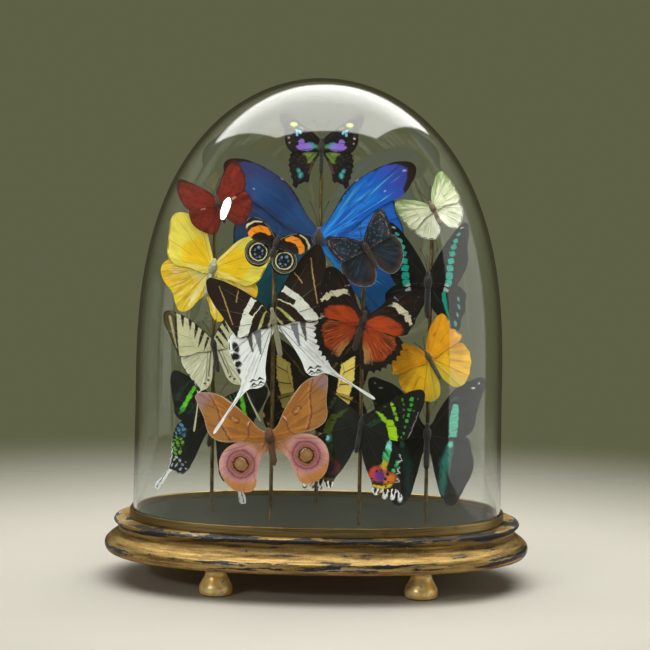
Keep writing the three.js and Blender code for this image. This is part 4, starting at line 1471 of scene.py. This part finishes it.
def add_insect(insect, dark, steel):
    """One specimen in two pieces: its wings, and its body with everything thin."""
    size = insect["size"]
    head, tail, radius = insect["body"]
    head, tail = head * size, tail * size
    slot = "wings_" + insect["name"]
    pose = pose_of(insect)
    paints = wing_materials(insect)
    wings, veins = [], []
    for which, paint in zip(("hind", "fore"), reversed(paints)):
        shapes, lines = wing_shapes(insect, which, paint)
        wings += shapes
        veins += lines
    wings = join(wings)
    modify(wings, "SOLIDIFY", thickness=WING_THICKNESS, offset=0)
    smooth(wings, 50)
    wings.name = insect["name"] + "_wings"
    finish(wings, insect["name"], slot, pose=pose)

    trunk = extruded("trunk", body_sections(head, tail, radius), BODY_SIDES)
    trunk.data.transform(Matrix.Rotation(math.radians(-90), 4, "X"))
    coat = fur(insect["fur"])
    trunk.data.materials.append(coat)
    fuzz = hairs("fuzz", radius, insect.get("hairs", HAIRS), radius * 0.42, (-radius * 1.2, radius * 1.7))
    fuzz.data.materials.append(coat)
    fine = tubes("limbs", [feeler_path(insect, -1), feeler_path(insect, 1), *leg_paths(radius)])
    ribs = tubes("veins", veins, 4)
    ribs.data.materials.append(horn("rib_" + insect["name"], insect["rib"], 0.5))
    hard = [*eyes(head, radius), fine]
    for part in hard:
        part.data.materials.append(dark)
    for part in [trunk, fuzz, ribs, *hard]:
        part.data.transform(pose)
    pin = tubes("pin", [pin_path(insect)])
    pin.data.materials.append(steel)
    body = join([trunk, fuzz, ribs, *hard, pin])
    smooth(body, 50)
    body.name = insect["name"] + "_body"
    finish(body, insect["name"], slot)


# The specimens. at is the middle of a thorax in millimetres, and size is how many of them one
# step of the outlines is. fore and hind go round the right wings from the leading edge, with
# the thorax at their origin. body gives head and tail in steps and the thorax's radius in
# millimetres, feelers how far they go across and up, and notches how many bites a wing's
# margin has and how deep they are. In degrees: turn goes anticlockwise seen from the front,
# yaw clockwise seen from above, lean tips the head back, lift swings the left and right wings
# back, and droop lowers them. reach is the length of the left and right forewing.
INSECTS = [
    dict(
        name="purple_spotted_swallowtail", rod="rod_middle", at=(-1.3, 31, 349.3), size=0.81,
        body=(11, -27, 2.6), feelers=(9, 17),
        fore=[(1, 7), (7, 14), (18, 22), (32, 32), (41, 33), (42, 28), (37, 16), (36, 4),
              (29, -5), (12, -4), (1, -3)],
        hind=[(1, 1), (16, 0), (29, -3), (33, -11), (33, -20), (31, -28), (29, -35), (26, -42),
              (23, -38), (19, -36), (13, -35), (11, -27), (8, -18), (4, -10), (1, -6)],
        notches=dict(hind=(15, 1.8)),
        paint=purple_spotted, ground=("0f0a09", "120c0b"), fur="211814", rib="1a1412",
    ),
    dict(
        name="blue_morpho", rod="rod_middle", at=(-2.4, 36, 274.1), size=0.818,
        body=(13, -30, 4), feelers=(10, 26),
        fore=[(1, 10), (10, 22), (30, 54), (47, 67), (65, 76), (82, 80), (94, 77), (96, 70),
              (91, 57), (84, 47), (60, 34), (20, 3), (1, -3)],
        hind=[(1, 5), (40, 36), (70, 47), (77, 29), (84, 14), (85, -6), (82, -32), (78, -51),
              (60, -70), (49, -74), (40, -56), (27, -43), (13, -22), (1, -8)],
        paint=blue_morpho, ground=("1560cc", "1a62c6"), fur="2a2018", rib="143a72",
        gloss=0.6, scales=dict(metallic=0.35, rough=0.42),
    ),
    dict(
        name="red_glider", rod="rod_far_left", at=(-82.2, -10, 305.6), size=0.765,
        turn=18, droop=(0, -8), body=(9, -22, 2.4), feelers=(9, 16),
        fore=[(1, 6), (10, 18), (22, 29), (32, 35), (36, 31), (37, 20), (36, 11), (31, 2),
              (14, -1), (1, -3)],
        hind=[(1, 2), (20, 3), (30, 2), (33, -7), (31, -16), (24, -24), (13, -30), (6, -24),
              (1, -12)],
        paint=red_glider, ground=("601609", "66180a"), fur="3a201a", rib="5c170f",
    ),
    dict(
        name="golden_birdwing_moth", rod="rod_far_left", at=(-86.4, -5, 253.2), size=0.8,
        turn=-13, droop=(0, 6), body=(10, -30, 3.2), feelers=(6, 12),
        fore=[(1, 6), (8, 22), (17, 37), (27, 44), (37, 47), (49, 44), (52, 36), (50, 20),
              (48, 6), (43, -3), (22, -6), (1, -5)],
        hind=[(1, 2), (24, 0), (44, -2), (50, -10), (47, -21), (33, -34), (28, -43), (21, -50),
              (12, -45), (8, -38), (1, -26)],
        paint=golden_birdwing, ground=("dccb4c", "d9bc2c"), fur="9a9a80", rib="c09a20",
    ),
    dict(
        name="eighty_eight", rod="rod_left", at=(-35, -56, 278), size=0.775,
        turn=-18, body=(8, -16, 2.3), feelers=(8, 15),
        fore=[(1, 5), (9, 12), (18, 17), (28, 18), (34, 15), (35, 9), (31, 2), (26, -3), (12, -4),
              (1, -3)],
        hind=[(1, -1), (12, -2), (22, -4), (27, -11), (26, -20), (20, -27), (13, -29), (5, -26),
              (1, -14)],
        paint=eighty_eight, ground=("180e0a", "100b0a"), fur="2a1c14", rib="1c120c",
        scales=dict(waver=0.35),
    ),
    dict(
        name="navy_brushfoot", rod="rod_right", at=(34.8, -53, 275.3), size=0.775,
        turn=30, body=(9, -24, 2.5), feelers=(8, 16),
        fore=[(1, 6), (9, 16), (20, 24), (29, 28), (33, 25), (33, 15), (31, 5), (28, -1),
              (14, -2), (1, -3)],
        hind=[(1, 1), (18, 0), (29, -1), (33, -10), (31, -21), (25, -30), (13, -36), (7, -33),
              (1, -18)],
        paint=navy_brushfoot, ground=("0d0d0f", "12110f"), fur="2a1e16", rib="141416",
        gloss=0.5,
    ),
    dict(
        name="pale_green_white", rod="rod_far_right", at=(86.4, -39, 306), size=0.78,
        turn=24, lean=22, lift=(32, 16), droop=(18, 0), body=(8, -20, 2.3), feelers=(7, 14),
        fore=[(1, 5), (5, 15), (13, 26), (22, 34), (28, 33), (31, 22), (32, 9), (31, 0), (14, -2),
              (1, -3)],
        hind=[(1, 1), (15, -1), (28, -2), (30, -9), (27, -17), (21, -24), (14, -28), (7, -23),
              (1, -10)],
        paint=pale_green, ground=("b6b898", "c2c3aa"), fur="5c5038", rib="a2a878",
        notches=dict(fore=(11, 0.9), hind=(11, 0.9)),
    ),
    dict(
        name="turquoise_band_upper", rod="rod_far_right", at=(84, -38.5, 247.6), size=0.79,
        lift=(6, 22), body=(12, -36, 3.2), feelers=(9, 22),
        fore=[(1, 8), (6, 20), (12, 30), (22, 44), (32, 55), (40, 59), (43, 50), (42, 34),
              (43, 20), (37, 6), (30, -3), (14, -4), (1, -3)],
        hind=[(1, 2), (20, 0), (33, -3), (42, -12), (43, -24), (39, -38), (35, -49), (26, -46),
              (18, -40), (10, -32), (1, -18)],
        paint=turquoise_upper, ground=("0d0908", "0c0908"), fur="1a1410", rib="120d0b",
        scales=dict(waver=0.6), notches=dict(hind=(8, 1.6)),
    ),
    dict(
        name="giant_swordtail", rod="rod_left", at=(-35.8, -50, 217.2), size=0.781,
        turn=11, lift=(-7, 0), droop=(5, -2), reach=(0.89, 1), body=(13, -38, 2.8), feelers=(8, 18),
        fore=[(1, 8), (4, 16), (16, 32), (35, 51), (50, 62), (59, 65), (63, 55), (61, 38),
              (54, 18), (48, 0), (43, -9), (22, -6), (1, -4)],
        hind=[(1, 2), (22, 0), (46, -4), (50, -14), (49, -32), (46, -54), (51, -63), (57.5, -70.6),
              (67, -79.9), (84.2, -97), (83.2, -98), (65.4, -81.5), (55.4, -72.8), (47, -66),
              (39, -62), (30, -63), (23, -60), (19, -45), (8, -18), (1, -8)],
        paint=giant_swordtail, ground=("22130c", "eef0ee"), fur="8a8466", rib="5e564c",
        scales=dict(waver=0.7),
    ),
    dict(
        name="orange_lacewing", rod="rod_right", at=(33, -57, 217.6), size=0.779,
        turn=-15, lift=(-14, 0), body=(12, -30, 3), feelers=(8, 20),
        fore=[(1, 7), (9, 15), (20, 31), (35, 43), (48, 47), (53, 41), (53, 30), (51, 14),
              (49, 6), (44, -2), (22, -4), (1, -4)],
        hind=[(1, 2), (22, 0), (40, -2), (47, -12), (46, -24), (40, -34), (32, -43), (22, -48),
              (14, -48), (7, -34), (1, -14)],
        paint=orange_lacewing, ground=("140c0a", "140d0b"), fur="281a14", rib="2a150d",
        notches=dict(fore=(13, 1.4), hind=(21, 3.4)),
    ),
    dict(
        name="golden_orange", rod="rod_far_right", at=(85.5, -42, 189.2), size=0.786,
        turn=30, lift=(6, 10), body=(8, -26, 2.2), feelers=(6, 12),
        fore=[(1, 6), (6, 15), (13, 23), (22, 29), (31, 32), (35, 30), (36, 22), (35, 14), (39, 8),
              (39, 0), (30, -3), (18, -3), (1, -4)],
        hind=[(1, 1), (20, -1), (36, -4), (39, -12), (37, -23), (31, -32), (22, -40), (13, -42),
              (6, -36), (1, -16)],
        paint=golden_orange, ground=("de9806", "f0ba18"), fur="4a4428", rib="b87c0c",
        notches=dict(fore=(12, 0.8), hind=(10, 0.7)),
    ),
    dict(
        name="kite_swallowtail", rod="rod_far_left", at=(-84.6, -10, 191.8), size=0.801,
        turn=10, body=(10, -28, 2.6), feelers=(7, 15),
        fore=[(1, 7), (8, 17), (17, 27), (31, 38), (42, 41), (45, 35), (42, 18), (38, 2),
              (35, -6), (18, -5), (1, -4)],
        hind=[(1, 1), (18, -2), (33, -6), (34, -16), (29, -28), (25, -37), (24, -46), (27.2, -60),
              (34.2, -83), (33.4, -83.4), (26, -60.4), (21.6, -45), (14, -42), (9, -37), (4, -20),
              (1, -10)],
        paint=kite, ground=("bebc94", "c6c6a4"), fur="1e1a16", rib="9a987c",
        scales=dict(waver=0.35),
    ),
    dict(
        name="green_striped_dayflier", rod="rod_far_left", at=(-83.4, -5, 138.4), size=0.806,
        turn=-9, body=(11, -38, 3), feelers=(10, 22),
        fore=[(1, 7), (8, 15), (22, 25), (36, 31), (47, 32), (49, 26), (46, 12), (41, -2),
              (38, -11), (28, -16), (14, -8), (1, -4)],
        hind=[(1, 1), (16, -10), (33, -18), (37, -28), (38, -40), (36, -52), (36, -62), (40, -74),
              (46.6, -88), (43, -90.6), (37, -78), (32, -69), (26, -71), (19, -69), (13, -56),
              (7, -34), (1, -14)],
        notches=dict(hind=(34, 1.8)),
        paint=green_striped, ground=("0b0c09", "0a0b0a"), fur="141612", rib="101410",
        gloss=0.5,
    ),
    dict(
        name="emperor_moth", rod="rod_left", at=(-37.8, -45.5, 123.8), size=0.789,
        turn=10.6, yaw=9, body=(10, -29, 3.6), feelers=(13, 9),
        fore=[(1, 7), (5, 7), (20, 26), (32, 40), (44, 50), (56, 54), (67, 53), (67, 45),
              (63, 30), (60, 11), (52, 4), (30, 0), (1, -3)],
        hind=[(1, 2), (20, 1), (42, -3), (52, -11), (56, -22), (54, -35), (47, -46), (36, -51),
              (25, -50), (19, -36), (12, -19), (1, -9)],
        paint=emperor, ground=("9a6228", "d49a94"), fur="5a3412", rib="7c4a28",
        hairs=900,
    ),
    dict(
        name="rainbow_dayflier", rod="rod_right", at=(33.7, -51, 136.4), size=0.785,
        turn=-9, lift=(13, 0), droop=(10, 0), body=(10, -30, 2.4), feelers=(11, 14),
        fore=[(1, 7), (10, 17), (24, 28), (36, 37), (46, 43), (55, 44), (58, 36), (56, 22),
              (52, 6), (47, -7), (30, -10), (1, -4)],
        hind=[(1, 1), (16, -6), (34, -12), (43, -18), (48, -28), (49, -40), (48.6, -52), (50.4, -60),
              (54, -69.6), (51, -71.6), (47, -62), (46, -69), (42.6, -70.4), (40.4, -62),
              (38, -70), (34.4, -70.6), (32.6, -62), (28, -68), (24, -67), (22, -59), (15, -48),
              (8, -34), (1, -12)],
        paint=rainbow, ground=("0b0a08", "0a0908"), fur="141210", rib="0f0f0c",
        gloss=0.5, scales=dict(waver=1.3),
    ),
    dict(
        name="yellow_banded_swallowtail", rod="rod_middle", at=(-3, 36, 152.6), size=0.825,
        body=(12, -34, 3.2), feelers=(9, 22),
        fore=[(1, 8), (10, 24), (24, 40), (40, 50), (56, 54), (61, 50), (58, 36), (53, 18),
              (48, 2), (42, -8), (20, -6), (1, -4)],
        hind=[(1, 1), (20, -2), (42, -6), (50, -18), (52, -30), (48, -42), (38, -50), (26, -52),
              (14, -46), (6, -30), (1, -14)],
        paint=yellow_banded, ground=("120c09", "110c0a"), fur="241a12", rib="1e150c",
    ),
    dict(
        name="turquoise_band_lower", rod="rod_far_right", at=(86, -40, 127.1), size=0.79,
        lift=(4, 16), body=(12, -36, 3.2), feelers=(9, 22),
        fore=[(1, 8), (5, 12), (10, 22), (21, 38), (31, 48), (44, 54), (58, 56), (60, 50),
              (55, 34), (51, 18), (49, 7), (43, -1), (22, -4), (1, -4)],
        hind=[(1, 2), (22, -2), (42, -4), (47, -18), (50, -32), (47, -44), (42, -53), (36, -64),
              (28, -73), (20, -69), (10, -44), (5, -23), (1, -10)],
        paint=turquoise_lower, ground=("110e0c", "100e0d"), fur="1a1410", rib="141210",
    ),
]


def add_stage():
    """A pale floor that fades out round the stand."""
    ground = start(bpy.ops.mesh.primitive_circle_add, vertices=96, radius=3, fill_type="NGON")
    ground.name = "studio_floor"
    paint = Finish("studio_floor", roughness=0.55)
    away = paint.vector("LENGTH", paint.place((1, 1.3, 1)), output="Value")
    tone = paint.noise(paint.place((0.004, 0.004, 0.004)), 1, detail=3)
    paint.feed("Base Color", paint.mix(rgb("a9a69c"), rgb("b1aea4"), tone))
    paint.through(paint.step(away, 280, 950), paint.node("BsdfTransparent"))
    ground.data.materials.append(paint.material)


def light_world():
    """An even backdrop; gloss sees less of it, and matt surfaces a little more."""
    world = bpy.data.worlds.new("studio")
    bpy.context.scene.world = world
    world.use_nodes = True
    sky = Nodes(world.node_tree)
    gloss = sky.node("LightPath", output="Glossy Depth")
    matt = sky.node("LightPath", output="Diffuse Depth")
    tone = sky.mix(BACKDROP, FILL, matt.math("GREATER_THAN", 0.5))
    tone = sky.mix(tone, GLOSS, gloss.math("GREATER_THAN", 0.5))
    sky.tree.links.new(tone.socket, sky.tree.nodes["Background"].inputs["Color"])
    world.cycles.sampling_method = "NONE"


def light_overhead():
    """A wide four-cornered cloth over the stand, a little dimmer towards the front."""
    width, height = OVERHEAD_SIZE
    middle, level = OVERHEAD_PLACE[:2]
    below = (middle, level, 0)
    lamp = softbox("overhead", "RECTANGLE", OVERHEAD_PLACE, below, OVERHEAD_SIZE, OVERHEAD_WATTS)
    # It hangs level, with its own axes along the stand's.
    lamp.rotation_euler = (0, 0, 0)
    lamp.data.use_nodes = True
    cloth = Nodes(lamp.data.node_tree)
    spot = cloth.node("NewGeometry", output="Parametric")
    corner = (middle - width / 2, level - height / 2, 0)
    spot = cloth.vector("MULTIPLY_ADD", spot, (width, height, 0), corner)
    lit = cloth.step(cloth.depth_in(spot, OVERHEAD_CORNERS), 0, 0.03)
    strength = lit * (cloth.step(cloth.part(spot, 1), -0.4, 0.15) * 0.4 + 0.96)
    cloth.tree.links.new(strength.socket, cloth.tree.nodes["Emission"].inputs["Strength"])


def light_studio():
    light_world()
    light_overhead()
    softbox("key", "ELLIPSE", KEY_PLACE, KEY_TARGET, KEY_SIZE, KEY_WATTS)
    softbox("side_panel", "RECTANGLE", PANEL_PLACE, PANEL_TARGET, PANEL_SIZE, PANEL_WATTS)


# ---------------------------------------------------------------- the scene

random.seed(SEED)
bpy.context.scene.view_settings.view_transform = "Standard"
place_camera()
light_studio()
add_stage()
add_plinth()
add_ring()
add_floor_panel()
add_dome()
add_feet()
add_rods()
dark = horn("dark_horn", "15110d", 0.28)
steel = aged_brass("pin_steel", "8f8c86", "5c5850", 0.35, (0.3, 0.3, 0.3), 0.4)
for specimen in INSECTS:
    add_insect(specimen, dark, steel)
